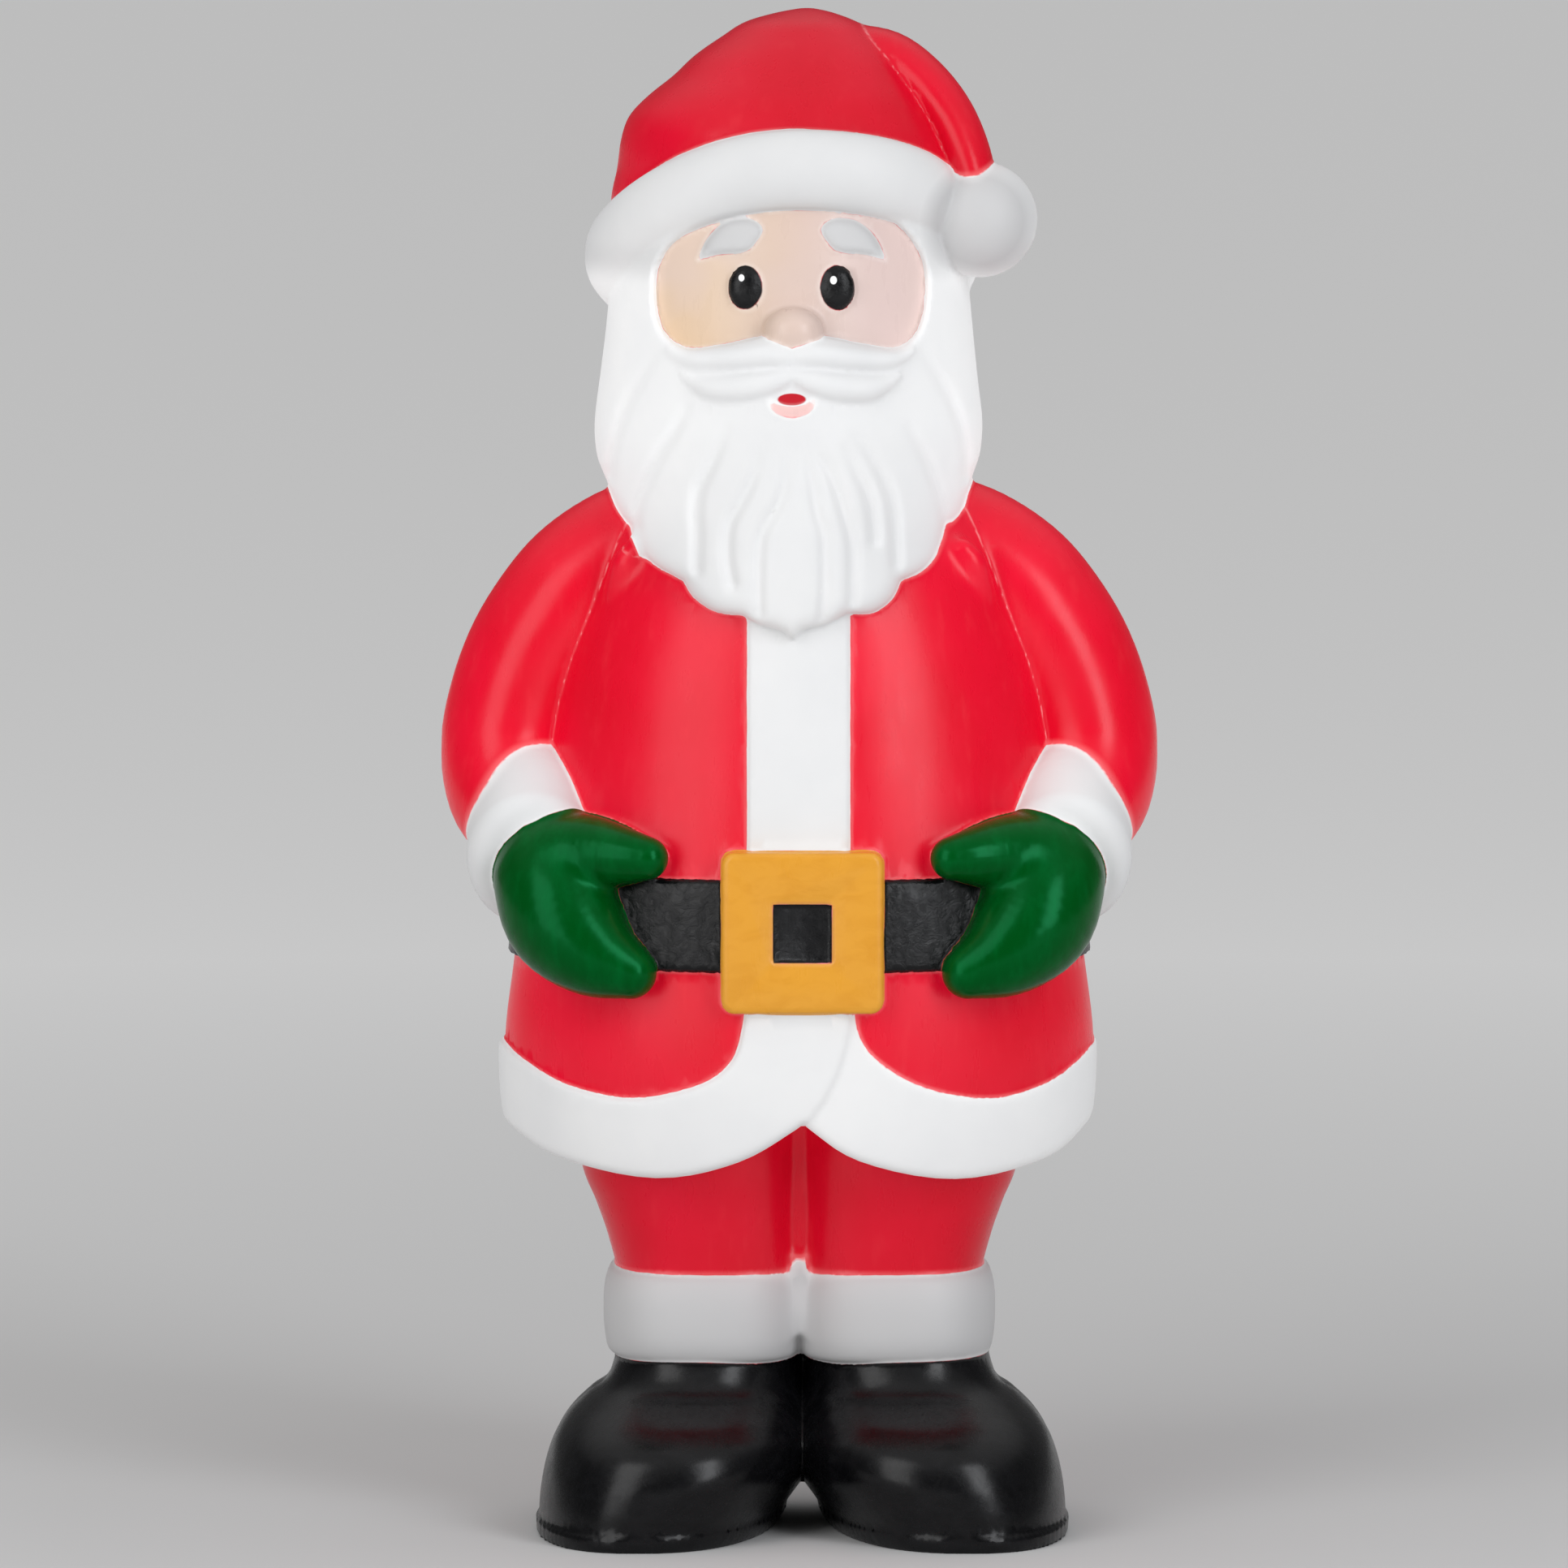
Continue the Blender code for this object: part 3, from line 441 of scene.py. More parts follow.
def stack(rows, squareness=2.0, proud=0.0, side=1, ends=2.0, axis=0.0, turn=0.0):
    """Distance to a form of level ovals, one above the other, whose fronts may turn outward."""
    line = smooth_line(rows, 6)
    table = line[np.argsort(line[:, 0])]
    heights = table[:, 0]
    widths = (table[:, 2] - table[:, 1]) / 2 + proud
    middles = (table[:, 1] + table[:, 2]) / 2
    fronts, backs = table[:, 3] + proud, table[:, 4] + proud
    slopes = [np.gradient(values, heights) for values in (widths, fronts, backs)]

    def distance(p):
        z = np.clip(p[:, 2], heights[0], heights[-1])
        x = (p[:, 0] - axis) * side - np.interp(z, heights, middles) - turn * np.maximum(-p[:, 1], 0)
        before = p[:, 1] < 0
        across = np.interp(z, heights, widths)
        deep = np.where(before, np.interp(z, heights, fronts), np.interp(z, heights, backs))
        widening = np.interp(z, heights, slopes[0])
        deepening = np.where(before, np.interp(z, heights, slopes[1]), np.interp(z, heights, slopes[2]))
        u = np.maximum(np.abs(x) / across, 1e-4)
        v = np.maximum(np.abs(p[:, 1]) / deep, 1e-4)
        whole = (u**squareness + v**squareness) ** (1 / squareness)
        share = whole ** (1 - squareness)
        steep_x = u ** (squareness - 1) / across * share
        steep_y = v ** (squareness - 1) / deep * share
        steep_z = (u**squareness * widening / across + v**squareness * deepening / deep) * share
        aside = (whole - 1) / np.sqrt(steep_x**2 + steep_y**2 + steep_z**2)
        aside = np.maximum(aside, -0.9 * np.minimum(across, deep))
        return keep(aside, np.maximum(p[:, 2] - heights[-1], heights[0] - p[:, 2]), ends)

    reach = max(widths.max() + np.abs(middles).max() + turn * fronts.max(), fronts.max(), backs.max())
    return near((-reach, -fronts.max(), heights[0]), (reach, backs.max(), heights[-1]), distance)


def limb(path, scale=(1, 1, 1), side=1, bulge=None):
    """Distance to a round form along a path of x, y, z and radius, its ends domed or flatter by a bulge."""
    line = smooth_line(path, 5)
    line[:, 3] = np.abs(line[:, 3])
    middle = line[:, :3].mean(axis=0)
    scale, flip = np.array(scale, float), np.array((side, 1, 1), float)

    def distance(p):
        q = (p * flip - middle) / scale + middle
        found = np.full(len(p), np.inf)
        for start, end in zip(line[:-1], line[1:]):
            along = end[:3] - start[:3]
            away = q - start[:3]
            t = np.clip(away @ along / (along @ along), 0, 1)
            gap = np.linalg.norm(away - t[:, None] * along, axis=1)
            found = np.minimum(found, gap - (start[3] + t * (end[3] - start[3])))
        if bulge:
            for end, other in ((line[0], line[1]), (line[-1], line[-2])):
                outward = (end - other)[:3] / np.linalg.norm((end - other)[:3])
                found = keep(found, (q - end[:3]) @ outward - end[3] * bulge, 9)
        return found * scale.min() ** 0.5

    bulk = line[:, 3].max() * scale.max()
    low = np.minimum(line[:, :3].min(axis=0) * flip, line[:, :3].max(axis=0) * flip) - bulk
    high = np.maximum(line[:, :3].min(axis=0) * flip, line[:, :3].max(axis=0) * flip) + bulk
    return near(low, high, distance)


def ball(centre, radii):
    """Distance to an ellipsoid."""
    centre, radii = np.array(centre, float), np.array(radii, float)

    def distance(p):
        q = (p - centre) / radii
        size = np.maximum(np.linalg.norm(q, axis=1), 1e-6)
        return size * (size - 1) / np.maximum(np.linalg.norm(q / radii, axis=1), 1e-6)

    return near(centre - radii, centre + radii, distance)


def block(low, high, corner, across_only=False):
    """Distance to a box with rounded edges; across_only rounds it as seen from the front alone."""
    low, high = np.array(low, float), np.array(high, float)
    middle, half = (low + high) / 2, (high - low) / 2

    def distance(p):
        q = np.abs(p - middle) - half
        if across_only:
            flat = q[:, (0, 2)] + corner
            side = np.linalg.norm(np.maximum(flat, 0), axis=1) + np.minimum(flat.max(axis=1), 0) - corner
            return keep(side, q[:, 1], 2.5)
        q = q + corner
        return np.linalg.norm(np.maximum(q, 0), axis=1) + np.minimum(q.max(axis=1), 0) - corner

    return near(low, high, distance)


def flat_distance(points, lines):
    """Distance of flat points from the nearest of some line stretches."""
    found = np.full(len(points), np.inf)
    for start, end in lines:
        along = end - start
        away = points - start
        t = np.clip(away @ along / max(along @ along, 1e-9), 0, 1)
        found = np.minimum(found, np.linalg.norm(away - t[:, None] * along, axis=1))
    return found


def lookup(low, high, measure):
    """A flat function of x and z, sampled once on a fine grid and then read between its points."""
    step = 1.0
    counts = [int((b - a) / step) + 2 for a, b in zip(low, high)]
    xs, zs = [a + step * np.arange(n) for a, n in zip(low, counts)]
    grid = measure(np.stack(np.meshgrid(xs, zs, indexing="ij"), axis=-1).reshape(-1, 2)).reshape(counts)

    def read(p):
        i = np.clip((p[:, 0] - low[0]) / step, 0, counts[0] - 1.001)
        k = np.clip((p[:, 2] - low[1]) / step, 0, counts[1] - 1.001)
        a, c = i.astype(int), k.astype(int)
        s, t = i - a, k - c
        first = grid[a, c] * (1 - s) + grid[a + 1, c] * s
        return first * (1 - t) + (grid[a, c + 1] * (1 - s) + grid[a + 1, c + 1] * s) * t

    return read


def mask(points):
    """Distance to the inside of a closed outline, seen from the front."""

    def measure(flat):
        following = np.roll(points, -1, axis=0)
        found = flat_distance(flat, zip(points, following))
        inside = np.zeros(len(flat), bool)
        for (x0, z0), (x1, z1) in zip(points, following):
            if z0 == z1:
                continue
            spans = (z0 > flat[:, 1]) != (z1 > flat[:, 1])
            inside ^= spans & (flat[:, 0] < (x1 - x0) * (flat[:, 1] - z0) / (z1 - z0) + x0)
        return np.where(inside, -found, found)

    return lookup(points.min(axis=0) - 6, points.max(axis=0) + 6, measure)


def groove_map():
    """How near each point of the beard's front is to a groove, from 0 to 1 in the groove's bottom."""
    lines = [smooth_line(groove, 4) for groove in BEARD_GROOVES]

    def measure(flat):
        deep = np.zeros(len(flat))
        for line in lines:
            gap = flat_distance(flat, list(zip(line[:-1], line[1:])))
            root = fade(line[0, 1] + 2 - flat[:, 1], 0, 26)
            deep = np.maximum(deep, np.exp(-((gap / 2.2) ** 2)) * (0.2 + 0.8 * root))
        return deep

    return lookup((-90, 355), (85, 490), measure)


def coat_forms():
    """The coat with its fur trims, belt and buckle, cut off below along the hem."""
    reach, floor, top = 150, 110, BACK_HEM[1]
    flap_sides = ((1.6, floor), (-reach, floor)), ((-reach, floor), (-reach, top))
    under_sides = ((8, 226), (1, 172)), ((1, floor), (reach, floor)), ((reach, floor), (reach, top))
    flap = mask(outline(FLAP_EDGE[::-1], *flap_sides, RIGHT_SKIRT_PANEL[::-1]))
    under = mask(outline(*under_sides, LEFT_SKIRT_PANEL[::-1]))
    below = mask(outline(RIGHT_HEM_EDGE, LEFT_HEM_EDGE, ((reach, 90), (-reach, 90))))

    def hemmed(distance):
        def measured(p):
            before = fade(-p[:, 1], -3, 3)
            space = before * below(p) + (1 - before) * (p[:, 2] - BACK_HEM[0])
            return cut(distance(p), np.where(p[:, 2] < 90, p[:, 2] - BACK_HEM[0], space), HEM_SOFTNESS)
        return measured

    def trim(proud, region, edge=2.4):
        form = stack(COAT, proud=proud)
        return lambda p: keep(form(p), region(p), edge)

    left, right, low, high = PLACKET
    placket_middle, placket_half = (left + right) / 2, (right - left) / 2

    def front(p, region):
        return np.maximum(region, p[:, 1])

    def band(p):
        return np.maximum(BELT[0] - p[:, 2], p[:, 2] - BELT[1])

    x, z = BUCKLE_CENTRE
    half, hole = BUCKLE_SIDE / 2, BUCKLE_HOLE_SIDE / 2
    front_y, back_y, floor_y = -BUCKLE_FRONT, -60, -BUCKLE_FRONT + BUCKLE_HOLE_DEPTH
    plate_low, plate_high = (x - half, front_y, z - half), (x + half, back_y, z + half)
    plate = block(plate_low, plate_high, BUCKLE_CORNER, across_only=True)
    window = block((x - hole, front_y - 9, z - hole), (x + hole, floor_y, z + hole), 1.2)
    inset_low = (x - hole - 0.5, floor_y - 0.3, z - hole - 0.5)
    inset = block(inset_low, (x + hole + 0.5, back_y, z + hole + 0.5), 1)
    placket = trim(PLACKET_PROUD, lambda p: front(p, np.maximum(
        np.abs(p[:, 0] - placket_middle) - placket_half, np.maximum(low - p[:, 2], p[:, 2] - high))), 1.6)
    return [
        ("red", 2.0, hemmed(stack(COAT))),
        ("white", 1.2, hemmed(trim(TOP_FLAP_PROUD, lambda p: front(p, flap(p))))),
        ("white", 1.2, hemmed(trim(FUR_PROUD, lambda p: front(p, under(p))))),
        ("white", 1.2, hemmed(trim(FUR_PROUD + 0.1, lambda p: np.maximum(p[:, 2] - top, -1 - p[:, 1])))),
        ("white", 1.2, placket),
        ("black", 0.8, trim(BELT_PROUD, band, 1.4)),
        ("gold", 0.8, lambda p: cut(plate(p), window(p), 0.8)),
        ("black", 0.3, inset),
    ]


def head_forms():
    """The head with its hair, beard, moustache, nose, eyes and brows."""
    edge = mask(outline(*BEARD_EDGE, ((95, 560), (-95, 560))))
    face = mask(outline(*FACE_EDGE))
    grooves = groove_map()
    bulk = stack(BEARD, ends=6)
    hair_bulk = stack([(z, left - 1.5, right + 1.5, 8, back + 2) for z, left, right, _, back in HEAD], ends=5)

    def beard(p):
        carved = bulk(p) + 2.2 * grooves(p) * fade(-p[:, 1], 8, 22) - 0.4
        shaped = keep(keep(carved, edge(p), 7.0), p[:, 1] - 20, 3)
        opening = np.maximum(face(p), p[:, 1] + 20)
        return cut(shaped, opening, 3.0)

    def hair(p):
        around = np.arctan2(p[:, 0] - FACE_AXIS, p[:, 1])
        locks = np.cos(around * 23 + 1.5 * np.sin(p[:, 2] / 17))
        return hair_bulk(p) + 0.8 * (1 - locks) * fade(p[:, 1], 4, 16)

    forms = [
        ("skin", 3.0, stack(HEAD)),
        ("white", 2.0, hair),
        ("white", 1.6, beard),
    ]

    def mirrored(path, side):
        """A path drawn about x = 0 on the -X side, put on either side of the face's axis."""
        return [(FACE_AXIS - x * side, y, z, r) for x, y, z, r in path]

    for side in (-1, 1):
        x, y, z = EYE
        forms.append(("white", 2.2, limb(mirrored(MOUSTACHE_WING, side))))
        forms.append(("white", 1.5, limb(mirrored(MOUSTACHE_UNDERWING, side))))
        forms.append(("black", 0.5, ball((FACE_AXIS + x * side, y, z), EYE_RADII)))
    brow_edge, brow_bulk = mask(outline(*EYEBROW_EDGE)), stack(HEAD, proud=EYEBROW_PROUD)

    def brow(p):
        q = p.copy()
        q[:, 0] = -np.abs(p[:, 0] - FACE_AXIS)
        return keep(brow_bulk(p), np.maximum(brow_edge(q), p[:, 1]), 4.0)

    forms.append(("white", 0.8, near((-42, -75, 508), (36, -40, 533), brow)))
    x, y, z = NOSE
    forms.append(("lip", 1.5, limb(mirrored(LIP, 1))))
    forms.append(("skin", 3.0, ball((FACE_AXIS + x, y, z), NOSE_RADII)))
    return forms


def hat_forms():
    """The hat with its fur brim, folded tail and pompom."""
    centre, (left, right, front, back) = np.array(BRIM_CENTRE), BRIM_REACH

    def brim(p):
        x, y = p[:, 0] - centre[0], p[:, 1]
        across, deep = np.where(x < 0, left, right), np.where(y < 0, front, back)
        length = np.maximum(np.hypot(x / across, y / deep), 1e-6)
        ring_x, ring_y = x / length, y / length
        outward = -(y / deep) / length
        bend = np.where((x > 0) & (y < 0), BRIM_BEND[1], BRIM_BEND[0])
        ring_z = centre[2] + np.copysign(BRIM_DIP * np.abs(outward) ** bend, outward)
        tall = BRIM_TALLNESS + (BRIM_FRONT_TALLNESS - BRIM_TALLNESS) * np.maximum(outward, 0) ** 2
        aside = (np.hypot(x, y) - np.hypot(ring_x, ring_y)) / BRIM_THICKNESS
        above = (p[:, 2] - ring_z) / tall
        size = np.maximum(np.hypot(aside, above), 1e-6)
        steep = np.hypot(aside / BRIM_THICKNESS, above / tall)
        return size * (size - 1) / np.maximum(steep, 1e-6)

    low = (centre[0] - left - 12, -front - 12, centre[2] - BRIM_DIP - BRIM_TALLNESS)
    high = (centre[0] + right + 12, back + 12, centre[2] + BRIM_DIP + BRIM_TALLNESS)
    return [
        ("red", 2.0, stack(HAT)),
        ("red", 1.6, limb(HAT_TAIL, scale=(1, HAT_TAIL_DEPTH, 1))),
        ("white", 1.6, near(low, high, brim)),
        ("white", 1.2, ball(POMPOM, (POMPOM_RADIUS,) * 3)),
    ]


def arm_forms(side):
    """A sleeve, its fur cuff and the mitten that holds the belt."""
    return [
        ("red", 3.0, limb(SLEEVE, scale=(1, SLEEVE_DEPTH, 1), side=-side)),
        ("red", FOLD_SOFTNESS, limb(ARMPIT_FOLD, side=-side)),
        ("white", 1.5, limb(CUFF, scale=(1, 1, CUFF_TALLNESS), side=-side, bulge=CUFF_BULGE)),
        ("green", 1.5, limb(MITTEN_HAND, side=-side)),
        ("green", 5.0, limb(MITTEN_THUMB, side=-side)),
    ]


def leg_forms(side):
    """A trouser leg, the fur round its boot and the boot with its sole."""
    boot = stack(BOOT, BOOT_SQUARENESS, side=side, ends=0.5, axis=BOOT_AXIS, turn=BOOT_TURN)
    sole = stack(BOOT, BOOT_SQUARENESS, proud=SOLE_PROUD, side=side, ends=0.5, axis=BOOT_AXIS, turn=BOOT_TURN)
    return [
        ("red", 3.0, stack(LEG, LEG_SQUARENESS, side=side)),
        ("white", 1.5, stack(BOOT_CUFF, LEG_SQUARENESS, side=side, ends=4)),
        ("black", 1.5, boot),
        ("black", 0.6, lambda p: keep(sole(p), p[:, 2] - SOLE_TOP, 1.0)),
    ]


def lamp_seat():
    """The flat land round the lamp cap, and the pocket that the cap sits in."""
    rows = np.array(COAT)
    height = float(CAP_BOX[0][2] + CAP_BOX[1][2]) / 2 / UNIT
    land = np.interp(height, rows[:, 0], rows[:, 4]) + LAND_PROUD

    def drum(radius, start, end):
        low = (-radius, start, height - radius)
        high = (radius, end, height + radius)
        return near(low, high, lambda p: keep(
            np.hypot(p[:, 0], p[:, 2] - height) - radius, np.maximum(p[:, 1] - end, start - p[:, 1]), 0.6))

    raised = drum(LAND_RADIUS / UNIT, 30, land)
    pocket = drum(LAMP_HOLE_RADIUS / UNIT, land - LAMP_HOLE_DEPTH / UNIT, land + 20)
    return land, raised, pocket


LAND, LAMP_LAND, LAMP_POCKET = lamp_seat()
FORMS = [
    *coat_forms(),
    *head_forms(),
    *hat_forms(),
    *[form for side in (-1, 1) for form in (*arm_forms(side), *leg_forms(side))],
    ("red", WEB_SOFTNESS, stack(LEG_WEB)),
    ("white", WEB_SOFTNESS, stack(BOOT_CUFF_WEB)),
    ("red", 3.0, LAMP_LAND),
]
PAINTS = ("white", "skin", "green", "black", "gold", "lip")


def figure(p):
    """Distance from the figure's surface, negative inside."""
    whole = np.full(len(p), 1e3)
    for _, soft, distance in FORMS:
        whole = join(whole, distance(p), soft)
    whole = cut(whole, LAMP_POCKET(p), 0.5)
    return np.maximum(whole, -p[:, 2])


def buckle_hole():
    """The buckle's window, whose floor and walls are painted black."""
    x, z = BUCKLE_CENTRE
    half = BUCKLE_HOLE_SIDE / 2
    return block((x - half, -BUCKLE_FRONT, z - half), (x + half, -BUCKLE_FRONT + 9, z + half), 0.5)


def paint_maps(p):
    """How far each point lies from where each paint ends, negative within it, and from any border or seam."""
    nearest = {paint: np.full(len(p), FAR) for paint in (*PAINTS, "red")}
    first, second = np.full(len(p), FAR), np.full(len(p), FAR)
    for paint, soft, distance in [*FORMS, ("black", 0, buckle_hole())]:
        d = distance(p)
        nearest[paint] = np.minimum(nearest[paint], d)
        if soft >= WEB_SOFTNESS:
            continue
        second = np.minimum(second, np.maximum(first, d))
        first = np.minimum(first, d)
    maps = {}
    for paint in PAINTS:
        others = np.min([nearest[other] for other in nearest if other != paint], axis=0)
        maps[paint] = nearest[paint] - others
    ranked = np.sort(list(nearest.values()), axis=0)
    maps["edge"] = ranked[1] - ranked[0]
    maps["seam"] = second - first
    return maps


def field():
    """The distances on a grid: worked out finely near the surface, and only by their sign elsewhere."""
    low, high = np.array(GRID_LOW), np.array(GRID_HIGH)
    step = CELL * BLOCK
    counts = np.ceil((high - low) / step).astype(int)
    axes = [low[i] + step * (np.arange(counts[i]) + 0.5) for i in range(3)]
    middles = np.stack(np.meshgrid(*axes, indexing="ij"), axis=-1).reshape(-1, 3)
    rough = figure(middles).reshape(counts)
    grid = np.repeat(np.repeat(np.repeat(np.sign(rough) * 9.0, BLOCK, 0), BLOCK, 1), BLOCK, 2)
    blocks = np.argwhere(np.abs(rough) < step * 1.15)
    offsets = np.stack(np.meshgrid(*[np.arange(BLOCK)] * 3, indexing="ij"), axis=-1).reshape(-1, 3)
    nodes = (blocks[:, None, :] * BLOCK + offsets).reshape(-1, 3)
    grid[tuple(nodes.T)] = figure(low + CELL * (nodes + 0.5))
    return grid, low + CELL / 2


def surface(grid, low):
    """Surface nets: a point in each cell that the surface crosses, and a quad across each crossed edge."""
    inside = grid < 0
    cells = np.array(grid.shape) - 1
    strides = np.array((cells[1] * cells[2], cells[2], 1))
    total, count = np.zeros((cells.prod(), 3)), np.zeros(cells.prod())
    quads = []
    for axis in range(3):
        first = [slice(None)] * 3
        second = [slice(None)] * 3
        first[axis], second[axis] = slice(None, -1), slice(1, None)
        edges = np.argwhere(inside[tuple(first)] != inside[tuple(second)])
        ends = edges.copy()
        ends[:, axis] += 1
        a, b = grid[tuple(edges.T)], grid[tuple(ends.T)]
        points = edges.astype(float)
        points[:, axis] += a / (a - b)
        u, v = [other for other in range(3) if other != axis]
        corners = []
        for du, dv in ((-1, -1), (0, -1), (0, 0), (-1, 0)):
            cell = edges.copy()
            cell[:, u] += du
            cell[:, v] += dv
            flat = cell @ strides
            corners.append(flat)
            count += np.bincount(flat, minlength=len(count))
            for i in range(3):
                total[:, i] += np.bincount(flat, weights=points[:, i], minlength=len(count))
        quad = np.stack(corners, axis=1)
        turned = (a < 0) == (axis == 1)
        quad[turned] = quad[turned][:, ::-1]
        quads.append(quad)
    used = np.flatnonzero(count)
    number = np.full(len(count), -1)
    number[used] = np.arange(len(used))
    points = low + CELL * total[used] / count[used, None]
    return points, number[np.vstack(quads)]


def slope(p, here, step=0.3):
    """The field's slope at these points."""
    return np.stack([(figure(p + step * np.eye(3)[i]) - here) / step for i in range(3)], axis=1)


def settle(points, faces, rounds=3):
    """Draws the points onto the surface, and evens out their spacing along it."""
    edges = np.vstack([faces[:, (0, 1)], faces[:, (1, 2)], faces[:, (2, 3)], faces[:, (3, 0)]])
    count = np.bincount(edges[:, 0], minlength=len(points)) + np.bincount(edges[:, 1], minlength=len(points))
    for turn in range(rounds):
        here = figure(points)
        steep = slope(points, here)
        size = np.maximum((steep**2).sum(axis=1), 0.2)
        points = points - steep * np.clip(here / size, -CELL, CELL)[:, None]
        if turn == rounds - 1:
            return points
        normal = steep / np.sqrt(size)[:, None]
        for _ in range(2):
            total = np.zeros_like(points)
            for i in range(3):
                total[:, i] = np.bincount(edges[:, 0], weights=points[edges[:, 1], i], minlength=len(points))
                total[:, i] += np.bincount(edges[:, 1], weights=points[edges[:, 0], i], minlength=len(points))
            shift = total / count[:, None] - points
            points = points + 0.5 * (shift - normal * (shift * normal).sum(axis=1)[:, None])
    return points


def coordinates(mesh):
    """The places of a mesh's points."""
    found = np.zeros(len(mesh.vertices) * 3)
    mesh.vertices.foreach_get("co", found)
    return found.reshape(-1, 3)


def sculpt():
    """The figure's mesh in the row frame, with its paint maps, thinned out where it is smooth."""
    points, faces = surface(*field())
    points = settle(points, faces)
    mesh = bpy.data.meshes.new("santa")
    mesh.from_pydata(points, [], faces)
    santa = bpy.data.objects.new("santa", mesh)
    bpy.context.scene.collection.objects.link(santa)
    thin = santa.modifiers.new("thin", "DECIMATE")
    thin.ratio = min(1.0, TRIANGLES / (2 * len(faces)))
    bpy.context.view_layer.update()
    graph = bpy.context.evaluated_depsgraph_get()
    thinned = bpy.data.meshes.new_from_object(santa.evaluated_get(graph))
    santa.modifiers.clear()
    santa.data = thinned
    bpy.data.meshes.remove(mesh)
    p = coordinates(thinned)
    for name, values in paint_maps(p).items():
        held = thinned.attributes.new(name, "FLOAT", "POINT")
        held.data.foreach_set("value", values.astype(np.float32))
    backward = CAP_BOX[1][1] - CAP_BACK - LAND * UNIT
    placed = p * UNIT + np.array((0, backward, 0))
    low, high = [np.array(corner, float) for corner in SHELL_BOX]
    placed = np.clip(placed, low, high)
    thinned.vertices.foreach_set("co", placed.ravel())
    thinned.shade_smooth()
    thinned.update()
    return santa, backward


class Nodes:
    """Short ways to add shader nodes to one material."""

    def __init__(self, name):
        self.material = bpy.data.materials.new(name)
        self.material.use_nodes = True
        self.tree = self.material.node_tree
        self.shader = self.tree.nodes["Principled BSDF"]
        self.place = self.add("ShaderNodeTexCoord").outputs["Object"]
        self.split = self.add("ShaderNodeSeparateXYZ")
        self.tree.links.new(self.place, self.split.inputs[0])

    def add(self, kind, **settings):
        node = self.tree.nodes.new(kind)
        for key, value in settings.items():
            setattr(node, key, value)
        return node

    def put(self, socket, value):
        """Links a socket to the value, or sets it."""
        if isinstance(value, bpy.types.NodeSocket):
            self.tree.links.new(value, socket)
        elif isinstance(value, tuple) and len(value) == 3 and len(socket.default_value) == 4:
            socket.default_value = (*value, 1)
        else:
            socket.default_value = value

    def math(self, operation, a, b=0.0, clamp=False):
        node = self.add("ShaderNodeMath", operation=operation, use_clamp=clamp)
        for socket, value in zip(node.inputs, (a, b)):
            self.put(socket, value)
        return node.outputs[0]

    def map(self, value, low, high, start=0.0, end=1.0, eased=False):
        """The value as it goes from low to high, turned into start to end and held beyond them."""
        node = self.add("ShaderNodeMapRange", interpolation_type="SMOOTHSTEP" if eased else "LINEAR")
        self.put(node.inputs["Value"], value)
        for name, number in (("From Min", low), ("From Max", high), ("To Min", start), ("To Max", end)):
            self.put(node.inputs[name], number)
        return node.outputs[0]

    def mix(self, share, a, b):
        """The first colour where share is 0, the second where it is 1."""
        node = self.add("ShaderNodeMix", data_type="RGBA")
        for name, value in (("Factor_Float", share), ("A_Color", a), ("B_Color", b)):
            self.put(next(s for s in node.inputs if s.identifier == name), value)
        return next(s for s in node.outputs if s.identifier == "Result_Color")

    def mix_number(self, share, a, b):
        """The first number where share is 0, the second where it is 1."""
        first = self.math("MULTIPLY", self.math("SUBTRACT", 1.0, share), a)
        return self.math("ADD", first, self.math("MULTIPLY", share, b))

    def along(self, axis):
        """Where the surface point is along one axis of the row, in metres."""
        return self.split.outputs[axis]

    def noise(self, scale, detail=3.0, rough=0.5, stretch=None, distortion=0.0):
        node = self.add("ShaderNodeTexNoise")
        node.inputs["Scale"].default_value = scale
        node.inputs["Detail"].default_value = detail
        node.inputs["Roughness"].default_value = rough
        node.inputs["Distortion"].default_value = distortion
        place = self.place
        if stretch:
            mapping = self.add("ShaderNodeMapping")
            mapping.inputs["Scale"].default_value = stretch
            self.put(mapping.inputs["Vector"], self.place)
            place = mapping.outputs[0]
        self.put(node.inputs["Vector"], place)
        return node.outputs["Fac"]

    def attribute(self, name):
        return self.add("ShaderNodeAttribute", attribute_name=name).outputs["Fac"]

    def oval(self, centre, radii):
        """Distance from an oval seen from the front, in metres, negative inside it."""
        across = self.add("ShaderNodeVectorMath", operation="SUBTRACT")
        self.put(across.inputs[0], self.place)
        across.inputs[1].default_value = (centre[0], 0, centre[1])
        scaled = self.add("ShaderNodeVectorMath", operation="MULTIPLY")
        self.put(scaled.inputs[0], across.outputs[0])
        scaled.inputs[1].default_value = (1 / radii[0], 0, 1 / radii[1])
        length = self.add("ShaderNodeVectorMath", operation="LENGTH")
        self.put(length.inputs[0], scaled.outputs[0])
        return self.math("MULTIPLY", self.math("SUBTRACT", length.outputs["Value"], 1.0), min(radii))


